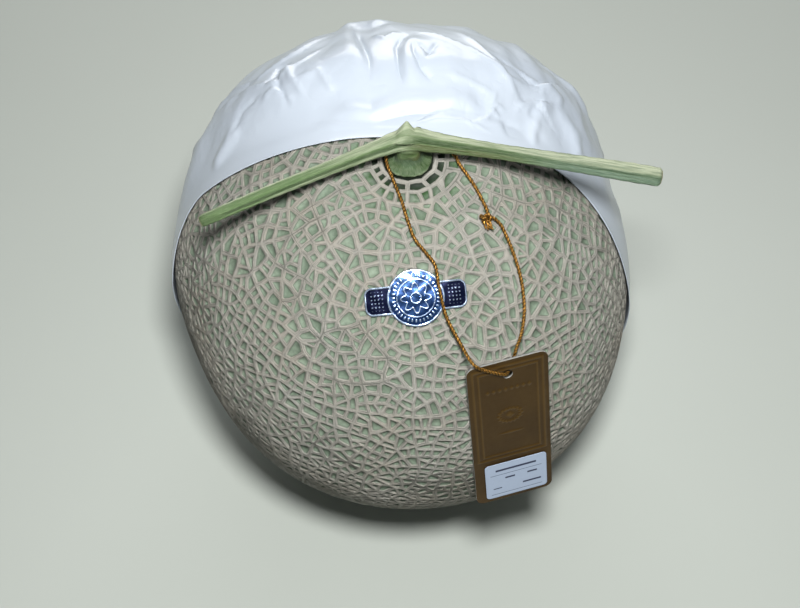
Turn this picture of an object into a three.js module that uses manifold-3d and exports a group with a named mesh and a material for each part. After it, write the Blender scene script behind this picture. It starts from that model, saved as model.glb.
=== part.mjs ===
// Muskmelon with its T-shaped vine stalk, film wrap, foil seal, gold cord and card tag
//
// Millimetres, +Z up. The origin is the middle of the flat resting spot. The front of the fruit, with the
// seal and the tag, faces -Y.
import * as THREE from "three";
import { mergeVertices } from "three/addons/utils/BufferGeometryUtils.js";
import Module from "manifold-3d";

const manifold = await Module();
manifold.setup();

// Fruit
const FRUIT_RADIUS = 75;
const FLAT_SPOT_RADIUS = 15;
const CENTRE_HEIGHT = Math.sqrt(FRUIT_RADIUS ** 2 - FLAT_SPOT_RADIUS ** 2);
const STALK_DIMPLE = { depth: 1.2, reach: 13 };
const SWELL_SHARPNESS = 10;
// Where the body grew fuller or flatter than a ball: compass angle and height angle in degrees, and mm
const SWELLS = [
  { compass: 202, height: -2, rise: -2.3 },
  { compass: 311, height: -13, rise: 2.6 },
  { compass: 177, height: 12, rise: 2.7 },
  { compass: 358, height: 9, rise: -1.3 },
  { compass: 271, height: -20, rise: 0.7 },
];

// Raised net on the fruit
const NET_SEED = 20;
const NET_CELLS = 970;
const NET_SECTORS = 12;
const NET_RINGS = [8.5, 11.7, 15.4];
const BLOSSOM_SCAR_RADIUS = 7.5;
const NET_ROWS = [42, 74, 106, 140];
const CREST_HEIGHT = 1.0;
const CREST_HALF_WIDTH = 1.1;
const CELL_SHARE = { top: 1.25, bottom: 0.8 };
const CUT_TRIES = 4;
const CUT_SLIDE = 0.42;
const CUT_TURN = 0.85;
const SNAP_SHARE = 0.34;
const RELAX_PASSES = 2;
const RELAX_SHARE = 0.35;

// Stem: the stalk, its collar, the node and the cut vine across it
const NODE_CENTRE = [0.7, -0.6, CENTRE_HEIGHT + 83.4];
const LEFT_TIP = [-59.7, -21.5, CENTRE_HEIGHT + 72];
const RIGHT_TIP = [74.0, -11.5, CENTRE_HEIGHT + 80];
const VINE_SIDES = 10;
const VINE_RIB = 0.07;
const COLLAR_RADIUS = 7.1;
const COLLAR_HEIGHT = 1.7;
const STALK_RADIUS = 4.2;
const STALK_SIDES = 20;
const STALK_CENTRE = [0.9, -0.9];

// Film over the back half
const FILM_THICKNESS = 0.6;
const FILM_GAP = 0.6;
const FILM_STEPS_ROUND = 26;
const FILM_STEPS_DOWN = 16;
const FILM_TOP_ANGLE = 5.6;
const FILM_HEM_HEIGHT = 11;
const FILM_EDGE_Y = 5.8;
const FILM_LEFT_DRAW = { from: 55, over: 26, forward: 14 };
const FILM_RIGHT_DRAW = { from: 25, over: 58, forward: 19.5 };
const FILM_STAND_OFF = 9.7;
const FILM_LEFT_RISE = { from: 0.15, over: 0.75 };
const FILM_RIGHT_RISE = { from: 0.38, over: 0.5 };

// Seal
const SEAL_DIRECTION = [0.0393, -0.5509, 0.8337];
const SEAL_ALONG = [0.994, 0.111, 0.022];
const SEAL_RADIUS = 8.2;
const SEAL_WING = { reach: 14.8, half: 4.1 };
const SEAL_THICKNESS = 0.35;

// Tag and its label
const TAG = { width: 25, length: 60.5, thickness: 0.8, corner: 2.6, tilt: 19, turn: 16.2 };
const TAG_CENTRE = [32, -66.3, CENTRE_HEIGHT + 25];
const TAG_HOLE = { radius: 1.9, fromTop: 5.7 };
const TAG_BORDER = { inset: 1.5, width: 0.7, height: 0.25, gap: 0.9 };
const TAG_PANEL_LENGTH = 40;
const LABEL = { width: 20, length: 15.4, thickness: 0.3, corner: 1.2, fromBottom: 1.9, shift: 0.7 };
const TOUCH_GAP = 0.32;

// Cord: a loop round the stalk, down the front, through the tag's hole and back to the knot
const CORD_RADIUS = 0.55;
const CORD_STEPS = 72;
const CORD_SIDES = 8;
const CORD_ROUTE = [
  [24.0, -18.0, 145.0], [22.2, -13.5, 146.0], [20.1, -9.6, 147.1], [17.8, -6.2, 148.2], [15.9, -3.5, 148.9],
  [14.6, -0.8, 149.3], [10.8, 2.0, 150.4], [6.4, 4.2, 150.9], [1.3, 5.0, 151.1], [-3.3, 3.6, 151.0],
  [-5.3, 0.2, 150.9], [-5.6, -3.4, 150.4], [-3.5, -9.6, 149.5], [-1.1, -16.2, 148.5], [0.7, -22.2, 147.1],
  [2.7, -27.2, 145.4], [5.7, -30.8, 144.1], [8.4, -34.2, 142.7], [9.6, -39.6, 139.7], [11.7, -46.6, 134.7],
  [15.6, -53.2, 131.0], [19.6, -60.0, 129.7], [22.3, -60.3, 127.2], [25.7, -60.4, 124.5], [28.1, -60.5, 122.8],
  [29.3, -59.7, 121.8], [30.0, -58.7, 121.4], [30.4, -57.5, 121.4], [30.9, -56.2, 122.5], [31.5, -55.2, 124.8],
  [32.1, -53.6, 127.0], [34.0, -48.0, 126.8], [34.9, -41.8, 128.8], [34.6, -37.5, 131.3], [33.9, -33.8, 133.8],
  [32.3, -29.2, 137.0], [29.6, -23.3, 140.6], [27.6, -20.2, 142.6], [25.3, -19.2, 144.3],
];
const KNOT_CENTRE = [23.3, -20.0, 145.3];
const KNOT_LOOP_RADIUS = 1.15;
// The knot's three loops: turns about X and Y in degrees, and a shift in mm
const KNOT_LOOPS = [
  { turns: [35, 20], shift: [0, 0.3, 0.1] },
  { turns: [-40, 65], shift: [0.2, -0.3, 0] },
  { turns: [80, -25], shift: [-0.2, 0, -0.1] },
];
const KNOT_TAILS = [[25.0, -22.6, 144.0], [24.4, -22.9, 143.9]];

const COLOURS = {
  rind: 0xa9aa9a,
  vine: 0x78936b,
  film: 0xe4edf6,
  foil: 0x2b4a86,
  card: 0x4c3c22,
  paper: 0xc9d6e4,
  gold: 0xb98a35,
};

const degrees = THREE.MathUtils.degToRad;
const centre = new THREE.Vector3(0, 0, CENTRE_HEIGHT);

// A unit direction from a compass angle round the upright axis and a height angle above the level
function direction(compass, height) {
  const level = Math.cos(degrees(height));
  return new THREE.Vector3(
    level * Math.cos(degrees(compass)),
    level * Math.sin(degrees(compass)),
    Math.sin(degrees(height)),
  );
}

const swells = SWELLS.map(({ compass, height, rise }) => ({ towards: direction(compass, height), rise }));

// Distance from the fruit's centre to its skin along a unit direction
function bodyRadius(way) {
  let radius = FRUIT_RADIUS;
  for (const { towards, rise } of swells) {
    radius += rise * Math.exp(SWELL_SHARPNESS * (way.dot(towards) - 1));
  }
  const fromStalk = (FRUIT_RADIUS * Math.hypot(way.x, way.y)) / STALK_DIMPLE.reach;
  if (way.z > 0) radius -= STALK_DIMPLE.depth * Math.exp(-fromStalk * fromStalk);
  return radius;
}

// A point at a height over the skin along a unit direction
function overSkin(way, height) {
  return way.clone().multiplyScalar(bodyRadius(way) + height).add(centre);
}

// A closed mesh geometry from points and triangles of point numbers
function geometryOf(points, triangles) {
  const geometry = new THREE.BufferGeometry();
  geometry.setAttribute("position", new THREE.Float32BufferAttribute(points.flatMap((p) => [p.x, p.y, p.z]), 3));
  geometry.setIndex(triangles.flat());
  return geometry;
}

function solidOf(geometry) {
  const bare = geometry.clone();
  bare.deleteAttribute("normal");
  bare.deleteAttribute("uv");
  const merged = mergeVertices(bare, 1e-4);
  return new manifold.Manifold(new manifold.Mesh({
    numProp: 3,
    vertProperties: new Float32Array(merged.attributes.position.array),
    triVerts: new Uint32Array(merged.index.array),
  }));
}

function geometryFromSolid(solid) {
  const { numProp, vertProperties, triVerts, numVert } = solid.getMesh();
  const positions = new Float32Array(numVert * 3);
  for (let i = 0; i < numVert; i++) positions.set(vertProperties.subarray(i * numProp, i * numProp + 3), i * 3);
  const geometry = new THREE.BufferGeometry();
  geometry.setAttribute("position", new THREE.BufferAttribute(positions, 3));
  geometry.setIndex(new THREE.BufferAttribute(new Uint32Array(triVerts), 1));
  return geometry;
}

function namedMesh(name, geometry, colour, roughness, metalness) {
  const facetted = geometry.index ? geometry.toNonIndexed() : geometry.clone();
  facetted.computeVertexNormals();
  const mesh = new THREE.Mesh(facetted, new THREE.MeshStandardMaterial({ color: colour, roughness, metalness }));
  mesh.name = name;
  return mesh;
}

// The net's cracks: a ball's skin cut again and again, the largest cell first, across its long way, as the
// rind splits while the fruit swells. A cell is a ring of point numbers, anticlockwise from outside.
class CrackNet {
  constructor(seed) {
    this.state = seed;
    this.points = [];
    this.degree = [];
    this.cells = [];
    this.owner = new Map();
    this.fixedPoints = 0;
  }

  random() {
    this.state = (Math.imul(this.state, 1664525) + 1013904223) >>> 0;
    return this.state / 4294967296;
  }

  addPoint(way) {
    this.points.push(way);
    this.degree.push(2);
    return this.points.length - 1;
  }

  addCell(ring) {
    const cell = { ring, weight: 0 };
    const facing = this.facing(ring);
    const area = facing.length();
    const share = THREE.MathUtils.lerp(CELL_SHARE.bottom, CELL_SHARE.top, (facing.z / area + 1) / 2);
    cell.weight = (area / share) * (0.7 + 0.6 * this.random());
    this.cells.push(cell);
    this.own(cell);
    return cell;
  }

  own(cell) {
    cell.ring.forEach((a, i) => this.owner.set(a * 65536 + cell.ring[(i + 1) % cell.ring.length], cell));
  }

  // Half the sum of the sides' cross products: as long as the cell's area, and facing out
  facing(ring) {
    const sum = new THREE.Vector3();
    const cross = new THREE.Vector3();
    ring.forEach((a, i) => {
      sum.add(cross.crossVectors(this.points[a], this.points[ring[(i + 1) % ring.length]]));
    });
    return sum.multiplyScalar(0.5);
  }

  middle(ring) {
    const mean = new THREE.Vector3();
    ring.forEach((a) => mean.add(this.points[a]));
    mean.normalize();
    const sum = new THREE.Vector3();
    ring.forEach((a, i) => {
      const p = this.points[a];
      const q = this.points[ring[(i + 1) % ring.length]];
      const area = p.clone().sub(mean).cross(q.clone().sub(mean)).length();
      sum.addScaledVector(p.clone().add(q).add(mean), area);
    });
    return sum.normalize();
  }

  // The way of a cell's longest spread, from the second moments of its area
  longWay(ring, middle) {
    const east = new THREE.Vector3(-middle.y, middle.x, 0).normalize();
    const north = middle.clone().cross(east);
    const flat = ring.map((a) => [this.points[a].dot(east), this.points[a].dot(north)]);
    let xx = 0;
    let yy = 0;
    let xy = 0;
    flat.forEach(([x1, y1], i) => {
      const [x2, y2] = flat[(i + 1) % flat.length];
      const turn = x1 * y2 - x2 * y1;
      xx += turn * (x1 * x1 + x1 * x2 + x2 * x2);
      yy += turn * (y1 * y1 + y1 * y2 + y2 * y2);
      xy += turn * (x1 * y2 + 2 * x1 * y1 + 2 * x2 * y2 + x2 * y1) * 0.5;
    });
    const angle = 0.5 * Math.atan2(2 * xy, xx - yy);
    return east.multiplyScalar(Math.cos(angle)).addScaledVector(north, Math.sin(angle));
  }

  // Where the great circle across `normal` meets a cell's ring: two ends, or null. An end near a corner
  // takes that corner, so some lines cross instead of stopping at a side.
  plan(cell, normal) {
    const { ring } = cell;
    const count = ring.length;
    const side = ring.map((a) => this.points[a].dot(normal));
    const size = Math.sqrt(this.facing(ring).length());
    const ends = [];
    for (let i = 0; i < count; i++) {
      const next = (i + 1) % count;
      if (side[i] < 0 === side[next] < 0) continue;
      const share = side[i] / (side[i] - side[next]);
      const span = this.points[ring[i]].distanceTo(this.points[ring[next]]);
      const near = share < 0.5 ? i : next;
      const reach = Math.min(share, 1 - share) * span;
      if (reach < SNAP_SHARE * size && this.degree[ring[near]] < 4) ends.push({ corner: near, reach });
      else ends.push({ edge: i, share, reach });
    }
    if (ends.length !== 2) return null;
    const [a, b] = ends;
    if (a.corner !== undefined && a.corner === b.corner) return null;
    const crossing = (end) => {
      if (end.corner !== undefined) return this.points[ring[end.corner]];
      return this.points[ring[end.edge]].clone().lerp(this.points[ring[(end.edge + 1) % count]], end.share).normalize();
    };
    const [p, q] = [crossing(a), crossing(b)];
    const half = new THREE.Vector3();
    const cross = new THREE.Vector3();
    const last = b.corner !== undefined ? b.corner : b.edge;
    let from = p;
    for (let i = (a.corner !== undefined ? a.corner : a.edge) + 1; i <= last; i++) {
      half.add(cross.crossVectors(from, this.points[ring[i]]));
      from = this.points[ring[i]];
    }
    half.add(cross.crossVectors(from, q)).add(cross.crossVectors(q, p));
    const part = (half.length() * 0.5) / (size * size);
    let quality = Math.min(part, 1 - part);
    for (const end of ends) if (end.corner === undefined) quality -= 0.3 * Math.max(0, 0.3 - end.reach / size);
    return { ends, quality, points: [p, q] };
  }

  // Cut a cell in two along a plan
  split(cell, { ends, points }) {
    const { ring } = cell;
    const numbers = ends.map((end, k) => {
      if (end.corner !== undefined) return ring[end.corner];
      const a = ring[end.edge];
      const b = ring[(end.edge + 1) % ring.length];
      const added = this.addPoint(points[k]);
      const beyond = this.owner.get(b * 65536 + a);
      beyond.ring.splice(beyond.ring.indexOf(b) + 1, 0, added);
      this.own(beyond);
      return added;
    });
    numbers.forEach((n) => (this.degree[n] += 1));
    const [a, b] = ends;
    const firstStart = (a.corner !== undefined ? a.corner : a.edge) + 1;
    const firstEnd = b.corner !== undefined ? b.corner : b.edge + 1;
    const secondEnd = a.corner !== undefined ? a.corner : a.edge + 1;
    const first = [numbers[0], ...ring.slice(firstStart, firstEnd), numbers[1]];
    const second = [
      numbers[1],
      ...ring.slice((b.corner !== undefined ? b.corner : b.edge) + 1),
      ...ring.slice(0, secondEnd),
      numbers[0],
    ];
    this.cells.splice(this.cells.indexOf(cell), 1);
    return [this.addCell(first), this.addCell(second)];
  }

  // Cut the heaviest cell across its long way, by the best of a few tries
  splitHeaviest() {
    let heaviest = this.cells[0];
    for (const cell of this.cells) if (cell.weight > heaviest.weight) heaviest = cell;
    const middle = this.middle(heaviest.ring);
    const along = this.longWay(heaviest.ring, middle);
    const size = Math.sqrt(this.facing(heaviest.ring).length());
    let best = null;
    for (let k = 0; k < CUT_TRIES; k++) {
      const slide = (this.random() - 0.5) * CUT_SLIDE * size;
      const turn = (this.random() - 0.5) * CUT_TURN;
      const through = middle.clone().addScaledVector(along, slide).normalize();
      const normal = along.clone().applyAxisAngle(middle, turn);
      normal.addScaledVector(through, -normal.dot(through)).normalize();
      const plan = this.plan(heaviest, normal);
      if (plan && (!best || plan.quality > best.quality)) best = plan;
    }
    if (best && best.quality > 0.12) this.split(heaviest, best);
    else heaviest.weight *= 0.7;
  }

  // Pull each corner towards its neighbours, which bends the straight lines where others join them
  relax() {
    const links = this.points.map(() => new Set());
    for (const { ring } of this.cells) {
      ring.forEach((a, i) => {
        const b = ring[(i + 1) % ring.length];
        links[a].add(b);
        links[b].add(a);
      });
    }
    this.points = this.points.map((point, i) => {
      if (i < this.fixedPoints) return point;
      const mean = new THREE.Vector3();
      links[i].forEach((n) => mean.add(this.points[n]));
      mean.divideScalar(links[i].size);
      return point.clone().lerp(mean, RELAX_SHARE).normalize();
    });
  }
}

// Rings of net round the stalk, long cells from there to the blossom scar, then the cuts
function growNet() {
  const net = new CrackNet(NET_SEED);
  const ringOf = (reach, count, [x, y], side) => {
    const numbers = [];
    for (let i = 0; i < count; i++) {
      const compass = ((i + 0.3 * (net.random() - 0.5)) / count) * 2 * Math.PI;
      const out = reach * (1 + 0.06 * (net.random() - 0.5));
      const at = new THREE.Vector3(x + out * Math.cos(compass), y + out * Math.sin(compass), 0);
      at.z = side * Math.sqrt(FRUIT_RADIUS ** 2 - at.x ** 2 - at.y ** 2);
      numbers.push(net.addPoint(at.normalize()));
    }
    return numbers;
  };
  const n = NET_SECTORS;
  const seat = ringOf(NET_RINGS[0], n, STALK_CENTRE, 1);
  const inner = ringOf(NET_RINGS[1], 2 * n, STALK_CENTRE, 1);
  const outer = ringOf(NET_RINGS[2], 2 * n, STALK_CENTRE, 1);
  net.fixedPoints = net.points.length;
  const scar = ringOf(BLOSSOM_SCAR_RADIUS, n, [0, 0], -1);
  const whole = [net.addCell(seat), net.addCell([...scar].reverse())];
  for (const cell of whole) cell.weight = 0;
  const sectors = [];
  for (let i = 0; i < n; i++) {
    const j = (i + 1) % n;
    const odd = 2 * i + 1;
    const before = (2 * i + 2 * n - 1) % (2 * n);
    net.addCell([seat[j], seat[i], inner[2 * i], inner[odd], inner[2 * j]]);
    net.addCell([inner[odd], inner[2 * i], inner[before], outer[before], outer[2 * i], outer[odd]]);
    sectors.push(net.addCell([outer[2 * j], outer[odd], outer[2 * i], scar[i], scar[j]]));
  }
  for (const numbers of [seat, inner, outer, scar]) numbers.forEach((number) => (net.degree[number] = 3));
  for (const sector of sectors) {
    let rest = sector;
    for (const row of NET_ROWS) {
      const middle = net.middle(rest.ring);
      const compass = Math.atan2(middle.y, middle.x);
      const angle = degrees(row + 16 * (net.random() - 0.5));
      const lean = 0.35 * (net.random() - 0.5);
      const through = new THREE.Vector3(
        Math.sin(angle) * Math.cos(compass),
        Math.sin(angle) * Math.sin(compass),
        Math.cos(angle),
      );
      const normal = new THREE.Vector3(
        Math.cos(angle) * Math.cos(compass),
        Math.cos(angle) * Math.sin(compass),
        -Math.sin(angle),
      ).applyAxisAngle(through, lean);
      const plan = net.plan(rest, normal);
      if (!plan) continue;
      const halves = net.split(rest, plan);
      rest = net.middle(halves[0].ring).z < net.middle(halves[1].ring).z ? halves[0] : halves[1];
    }
  }
  while (net.cells.length < NET_CELLS) net.splitHeaviest();
  for (let i = 0; i < RELAX_PASSES; i++) net.relax();
  return net;
}

// The fruit's surface: the net's lines are crests, and each cell falls from them to a floor on the skin
function fruitGeometry() {
  const net = growNet();
  const onFloor = (point) => point.setZ(Math.max(point.z, 0));
  const points = net.points.map((way) => onFloor(overSkin(way, CREST_HEIGHT)));
  const triangles = [];
  for (const { ring } of net.cells) {
    const middle = net.middle(ring);
    const count = ring.length;
    const ways = ring.map((a) => net.points[a]);
    const sideReach = ways.map((way, i) => {
      const side = way.clone().cross(ways[(i + 1) % count]).normalize();
      return FRUIT_RADIUS * Math.abs(middle.dot(side));
    });
    const isCorner = ways.map((way, i) => {
      const before = ways[(i + count - 1) % count].clone().sub(way).normalize();
      const after = ways[(i + 1) % count].clone().sub(way).normalize();
      return before.dot(after) > Math.cos(degrees(158));
    });
    const corners = ways.map((_, i) => i).filter((i) => isCorner[i]);
    const feet = new Map();
    for (const i of corners) {
      const reach = Math.min(sideReach[i], sideReach[(i + count - 1) % count]);
      const keep = Math.max(0.3, 1 - CREST_HALF_WIDTH / reach);
      const way = middle.clone().lerp(ways[i], keep).normalize();
      feet.set(i, points.push(onFloor(overSkin(way, 0))) - 1);
    }
    corners.forEach((start, k) => {
      const end = corners[(k + 1) % corners.length];
      const steps = (end - start + count) % count || count;
      const turnAt = Math.floor(steps / 2);
      for (let s = 0; s < steps; s++) {
        const a = ring[(start + s) % count];
        const b = ring[(start + s + 1) % count];
        if (s === turnAt) triangles.push([a, feet.get(end), feet.get(start)]);
        triangles.push([a, b, s < turnAt ? feet.get(start) : feet.get(end)]);
      }
    });
    for (let k = 1; k + 1 < corners.length; k++) {
      triangles.push([feet.get(corners[0]), feet.get(corners[k]), feet.get(corners[k + 1])]);
    }
  }
  return geometryOf(points, triangles);
}

// A closed tube through rings of points, each ring as long as the others, with flat ends
function loftGeometry(rings) {
  const count = rings[0].length;
  const points = rings.flat();
  const triangles = [];
  for (let k = 0; k + 1 < rings.length; k++) {
    for (let i = 0; i < count; i++) {
      const j = (i + 1) % count;
      const [a, b, c, d] = [k * count + i, k * count + j, (k + 1) * count + j, (k + 1) * count + i];
      triangles.push([a, b, c], [a, c, d]);
    }
  }
  const middleOf = (ring) => ring.reduce((sum, p) => sum.add(p), new THREE.Vector3()).divideScalar(count);
  const first = points.push(middleOf(rings[0])) - 1;
  const last = points.push(middleOf(rings[rings.length - 1])) - 1;
  const end = (rings.length - 1) * count;
  for (let i = 0; i < count; i++) {
    const j = (i + 1) % count;
    triangles.push([first, j, i], [last, end + i, end + j]);
  }
  return geometryOf(points, triangles);
}

// A ribbed stem along a curve: `thickness` gives the radius at a share of its length
function ribbedTube(curve, stations, sides, thickness, rib) {
  const { normals, binormals } = curve.computeFrenetFrames(stations, false);
  const rings = [];
  for (let k = 0; k <= stations; k++) {
    const share = k / stations;
    const at = curve.getPointAt(share);
    const ring = [];
    for (let i = 0; i < sides; i++) {
      const angle = (i / sides) * 2 * Math.PI;
      const radius = thickness(share) * (1 + (i % 2 ? -rib : rib));
      ring.push(
        at.clone()
          .addScaledVector(normals[k], radius * Math.cos(angle))
          .addScaledVector(binormals[k], radius * Math.sin(angle)),
      );
    }
    rings.push(ring);
  }
  return loftGeometry(rings);
}

// Values between named stations, joined by straight lines
function between(stations, share) {
  const k = Math.max(1, stations.findIndex(([at]) => at >= share));
  const [from, low] = stations[k - 1];
  const [to, high] = stations[k];
  return THREE.MathUtils.lerp(low, high, (share - from) / (to - from));
}

function vineGeometry() {
  const curve = new THREE.CatmullRomCurve3([
    new THREE.Vector3(...LEFT_TIP),
    new THREE.Vector3(-41, -14.9, CENTRE_HEIGHT + 76.3),
    new THREE.Vector3(-21.2, -8.0, CENTRE_HEIGHT + 80.4),
    new THREE.Vector3(-8, -3.2, CENTRE_HEIGHT + 82.6),
    new THREE.Vector3(...NODE_CENTRE),
    new THREE.Vector3(10, -1.6, CENTRE_HEIGHT + 83),
    new THREE.Vector3(30.5, -4.6, CENTRE_HEIGHT + 82.2),
    new THREE.Vector3(53, -8.2, CENTRE_HEIGHT + 81.2),
    new THREE.Vector3(...RIGHT_TIP),
  ]);
  const radii = [
    [0, 1.8], [0.12, 1.95], [0.3, 2.05], [0.4, 2.5], [0.46, 3.3], [0.5, 3.2],
    [0.56, 2.6], [0.66, 2.2], [0.82, 2.45], [0.94, 2.75], [1, 2.65],
  ];
  return ribbedTube(curve, 34, VINE_SIDES, (share) => between(radii, share), VINE_RIB);
}

// The short stubs of a leaf stalk and a tendril, on the back of the node
function stubGeometry(root, tip, radius) {
  const curve = new THREE.LineCurve3(new THREE.Vector3(...root), new THREE.Vector3(...tip));
  return ribbedTube(curve, 2, 8, (share) => radius * (1 - 0.62 * share), 0);
}

// The stalk: a collar disc seated over the skin, then a ribbed waist that flares into the node
function stalkGeometry() {
  const [x, y] = STALK_CENTRE;
  const top = CENTRE_HEIGHT + 82.6;
  const seatHeight = (radius) => {
    const way = new THREE.Vector3(x, y - radius, 0).setZ(FRUIT_RADIUS).normalize();
    return overSkin(way, 0).z + TOUCH_GAP + 0.1;
  };
  const seat = seatHeight(0);
  const rows = [
    [COLLAR_RADIUS * 0.5, seat, 0],
    [COLLAR_RADIUS * 0.88, seat + 0.05, 0],
    [COLLAR_RADIUS, seat + 0.55, 0.02],
    [COLLAR_RADIUS * 0.98, seat + COLLAR_HEIGHT * 0.8, 0.03],
    [COLLAR_RADIUS * 0.86, seat + COLLAR_HEIGHT, 0.03],
    [STALK_RADIUS * 1.2, seat + COLLAR_HEIGHT + 0.7, 0.06],
    [STALK_RADIUS, seat + COLLAR_HEIGHT + 2.4, 0.08],
    [STALK_RADIUS * 0.98, top - 2.6, 0.08],
    [STALK_RADIUS * 0.72, top, 0.04],
  ];
  const rings = rows.map(([radius, height, rib]) => {
    const ring = [];
    for (let i = 0; i < STALK_SIDES; i++) {
      const angle = (i / STALK_SIDES) * 2 * Math.PI;
      const reach = radius * (1 + rib * Math.cos(5 * angle));
      ring.push(new THREE.Vector3(x + reach * Math.cos(angle), y + reach * Math.sin(angle), height));
    }
    return ring;
  });
  return loftGeometry(rings);
}

function stemGeometry() {
  const [x, y, z] = NODE_CENTRE;
  const pieces = [
    vineGeometry(),
    stalkGeometry(),
    stubGeometry([x - 0.2, y + 0.6, z], [x - 0.3, y + 3.4, z + 5.4], 2.1),
    stubGeometry([x + 2.4, y + 0.8, z], [x + 3.3, y + 4.2, z + 3.6], 1.7),
  ];
  return geometryFromSolid(pieces.map(solidOf).reduce((whole, piece) => whole.add(piece)));
}

const ease = (share) => THREE.MathUtils.smoothstep(share, 0, 1);

const FILM_BACK = new THREE.Vector3(0, 0.862, 0.507);

// The film's height over the skin: low along its front edge, and standing off over the top of the back
function filmHeight(way, fromEdge) {
  const back = way.dot(FILM_BACK);
  const right = ease((way.x + 0.3) / 0.6);
  const from = THREE.MathUtils.lerp(FILM_LEFT_RISE.from, FILM_RIGHT_RISE.from, right);
  const over = THREE.MathUtils.lerp(FILM_LEFT_RISE.over, FILM_RIGHT_RISE.over, right);
  const away = ease((back - from) / over);
  return FILM_GAP + CREST_HEIGHT + FILM_STAND_OFF * away * ease(fromEdge / 26);
}

// The film's front edge: how far forward or back it lies at a polar angle in degrees
function filmEdgeY(polar, draw) {
  return FILM_EDGE_Y - draw.forward * ease((polar - draw.from) / draw.over);
}

function filmRow(polar, lift) {
  const flat = FRUIT_RADIUS * Math.sin(degrees(polar));
  const start = Math.asin(Math.min(0.995, filmEdgeY(polar, FILM_RIGHT_DRAW) / flat));
  const end = Math.PI - Math.asin(Math.min(0.995, filmEdgeY(polar, FILM_LEFT_DRAW) / flat));
  const row = [];
  for (let i = 0; i <= FILM_STEPS_ROUND; i++) {
    const compass = THREE.MathUtils.lerp(start, end, i / FILM_STEPS_ROUND);
    const slope = Math.sin(degrees(polar));
    const way = new THREE.Vector3(slope * Math.cos(compass), slope * Math.sin(compass), Math.cos(degrees(polar)));
    const edge = filmEdgeY(polar, way.x > 0 ? FILM_RIGHT_DRAW : FILM_LEFT_DRAW);
    const height = filmHeight(way, FRUIT_RADIUS * way.y - edge) + lift;
    row.push(overSkin(way, height));
  }
  return row;
}

function filmGeometry() {
  const hemRadius = FRUIT_RADIUS + FILM_STAND_OFF * 0.5;
  const hemAngle = 180 - THREE.MathUtils.radToDeg(Math.acos((CENTRE_HEIGHT - FILM_HEM_HEIGHT) / hemRadius));
  const rowsFor = (lift) => {
    const rows = [];
    for (let k = 0; k <= FILM_STEPS_DOWN; k++) {
      rows.push(filmRow(THREE.MathUtils.lerp(FILM_TOP_ANGLE, hemAngle, k / FILM_STEPS_DOWN), lift));
    }
    return rows;
  };
  const outer = rowsFor(FILM_THICKNESS);
  const inner = rowsFor(0);
  const width = FILM_STEPS_ROUND + 1;
  const points = [...outer.flat(), ...inner.flat()];
  const under = outer.length * width;
  const triangles = [];
  for (let k = 0; k < FILM_STEPS_DOWN; k++) {
    for (let i = 0; i < FILM_STEPS_ROUND; i++) {
      const [a, b, c, d] = [k * width + i, k * width + i + 1, (k + 1) * width + i + 1, (k + 1) * width + i];
      triangles.push([a, d, c], [a, c, b]);
      triangles.push([under + a, under + c, under + d], [under + a, under + b, under + c]);
    }
  }
  const rim = [];
  for (let i = 0; i < FILM_STEPS_ROUND; i++) rim.push(i);
  for (let k = 0; k < FILM_STEPS_DOWN; k++) rim.push(k * width + FILM_STEPS_ROUND);
  for (let i = FILM_STEPS_ROUND; i > 0; i--) rim.push(FILM_STEPS_DOWN * width + i);
  for (let k = FILM_STEPS_DOWN; k > 0; k--) rim.push(k * width);
  rim.forEach((a, i) => {
    const b = rim[(i + 1) % rim.length];
    triangles.push([a, b, under + b], [a, under + b, under + a]);
  });
  return geometryOf(points, triangles);
}

// The seal: a thin plate that follows the net's crests, a disc joined with a wing on each side
function sealGeometry() {
  const facing = new THREE.Vector3(...SEAL_DIRECTION).normalize();
  const along = new THREE.Vector3(...SEAL_ALONG);
  along.addScaledVector(facing, -along.dot(facing)).normalize();
  const across = facing.clone().cross(along);
  const corner = Math.atan2(SEAL_WING.half, SEAL_WING.reach);
  const neck = Math.asin(SEAL_WING.half / SEAL_RADIUS);
  const quarter = [0, corner * 0.55, corner * 0.9, corner, corner * 1.1, (corner + neck) / 2, neck];
  for (let i = 1; i <= 5; i++) quarter.push(neck + ((Math.PI / 2 - neck) * i) / 5);
  const half = [...quarter, ...quarter.slice(0, -1).reverse().map((angle) => Math.PI - angle)];
  const angles = [...half, ...half.slice(1, -1).map((angle) => angle + Math.PI)];
  const outline = (angle) => {
    const wing = Math.min(
      SEAL_WING.reach / Math.max(1e-9, Math.abs(Math.cos(angle))),
      SEAL_WING.half / Math.max(1e-9, Math.abs(Math.sin(angle))),
    );
    return Math.max(SEAL_RADIUS, wing);
  };
  const place = (angle, share, height) => {
    const reach = (share * outline(angle)) / FRUIT_RADIUS;
    const way = facing.clone()
      .addScaledVector(along, reach * Math.cos(angle))
      .addScaledVector(across, reach * Math.sin(angle))
      .normalize();
    return overSkin(way, CREST_HEIGHT + TOUCH_GAP + height);
  };
  const shares = [0.5, 1];
  const rings = [
    ...shares.map((share) => angles.map((angle) => place(angle, share, 0))),
    ...[...shares].reverse().map((share) => angles.map((angle) => place(angle, share, SEAL_THICKNESS))),
  ];
  return loftGeometry(rings);
}

// A rectangle with round corners, centred on the origin
function roundedRectangle(width, length, corner) {
  const shape = new THREE.Shape();
  const [x, y] = [width / 2, length / 2];
  shape.moveTo(-x + corner, -y);
  shape.lineTo(x - corner, -y);
  shape.absarc(x - corner, -y + corner, corner, -Math.PI / 2, 0, false);
  shape.lineTo(x, y - corner);
  shape.absarc(x - corner, y - corner, corner, 0, Math.PI / 2, false);
  shape.lineTo(-x + corner, y);
  shape.absarc(-x + corner, y - corner, corner, Math.PI / 2, Math.PI, false);
  shape.lineTo(-x, -y + corner);
  shape.absarc(-x + corner, -y + corner, corner, Math.PI, 1.5 * Math.PI, false);
  return shape;
}

function plateGeometry(shape, thickness) {
  return new THREE.ExtrudeGeometry(shape, { depth: thickness, bevelEnabled: false, curveSegments: 4 });
}

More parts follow.
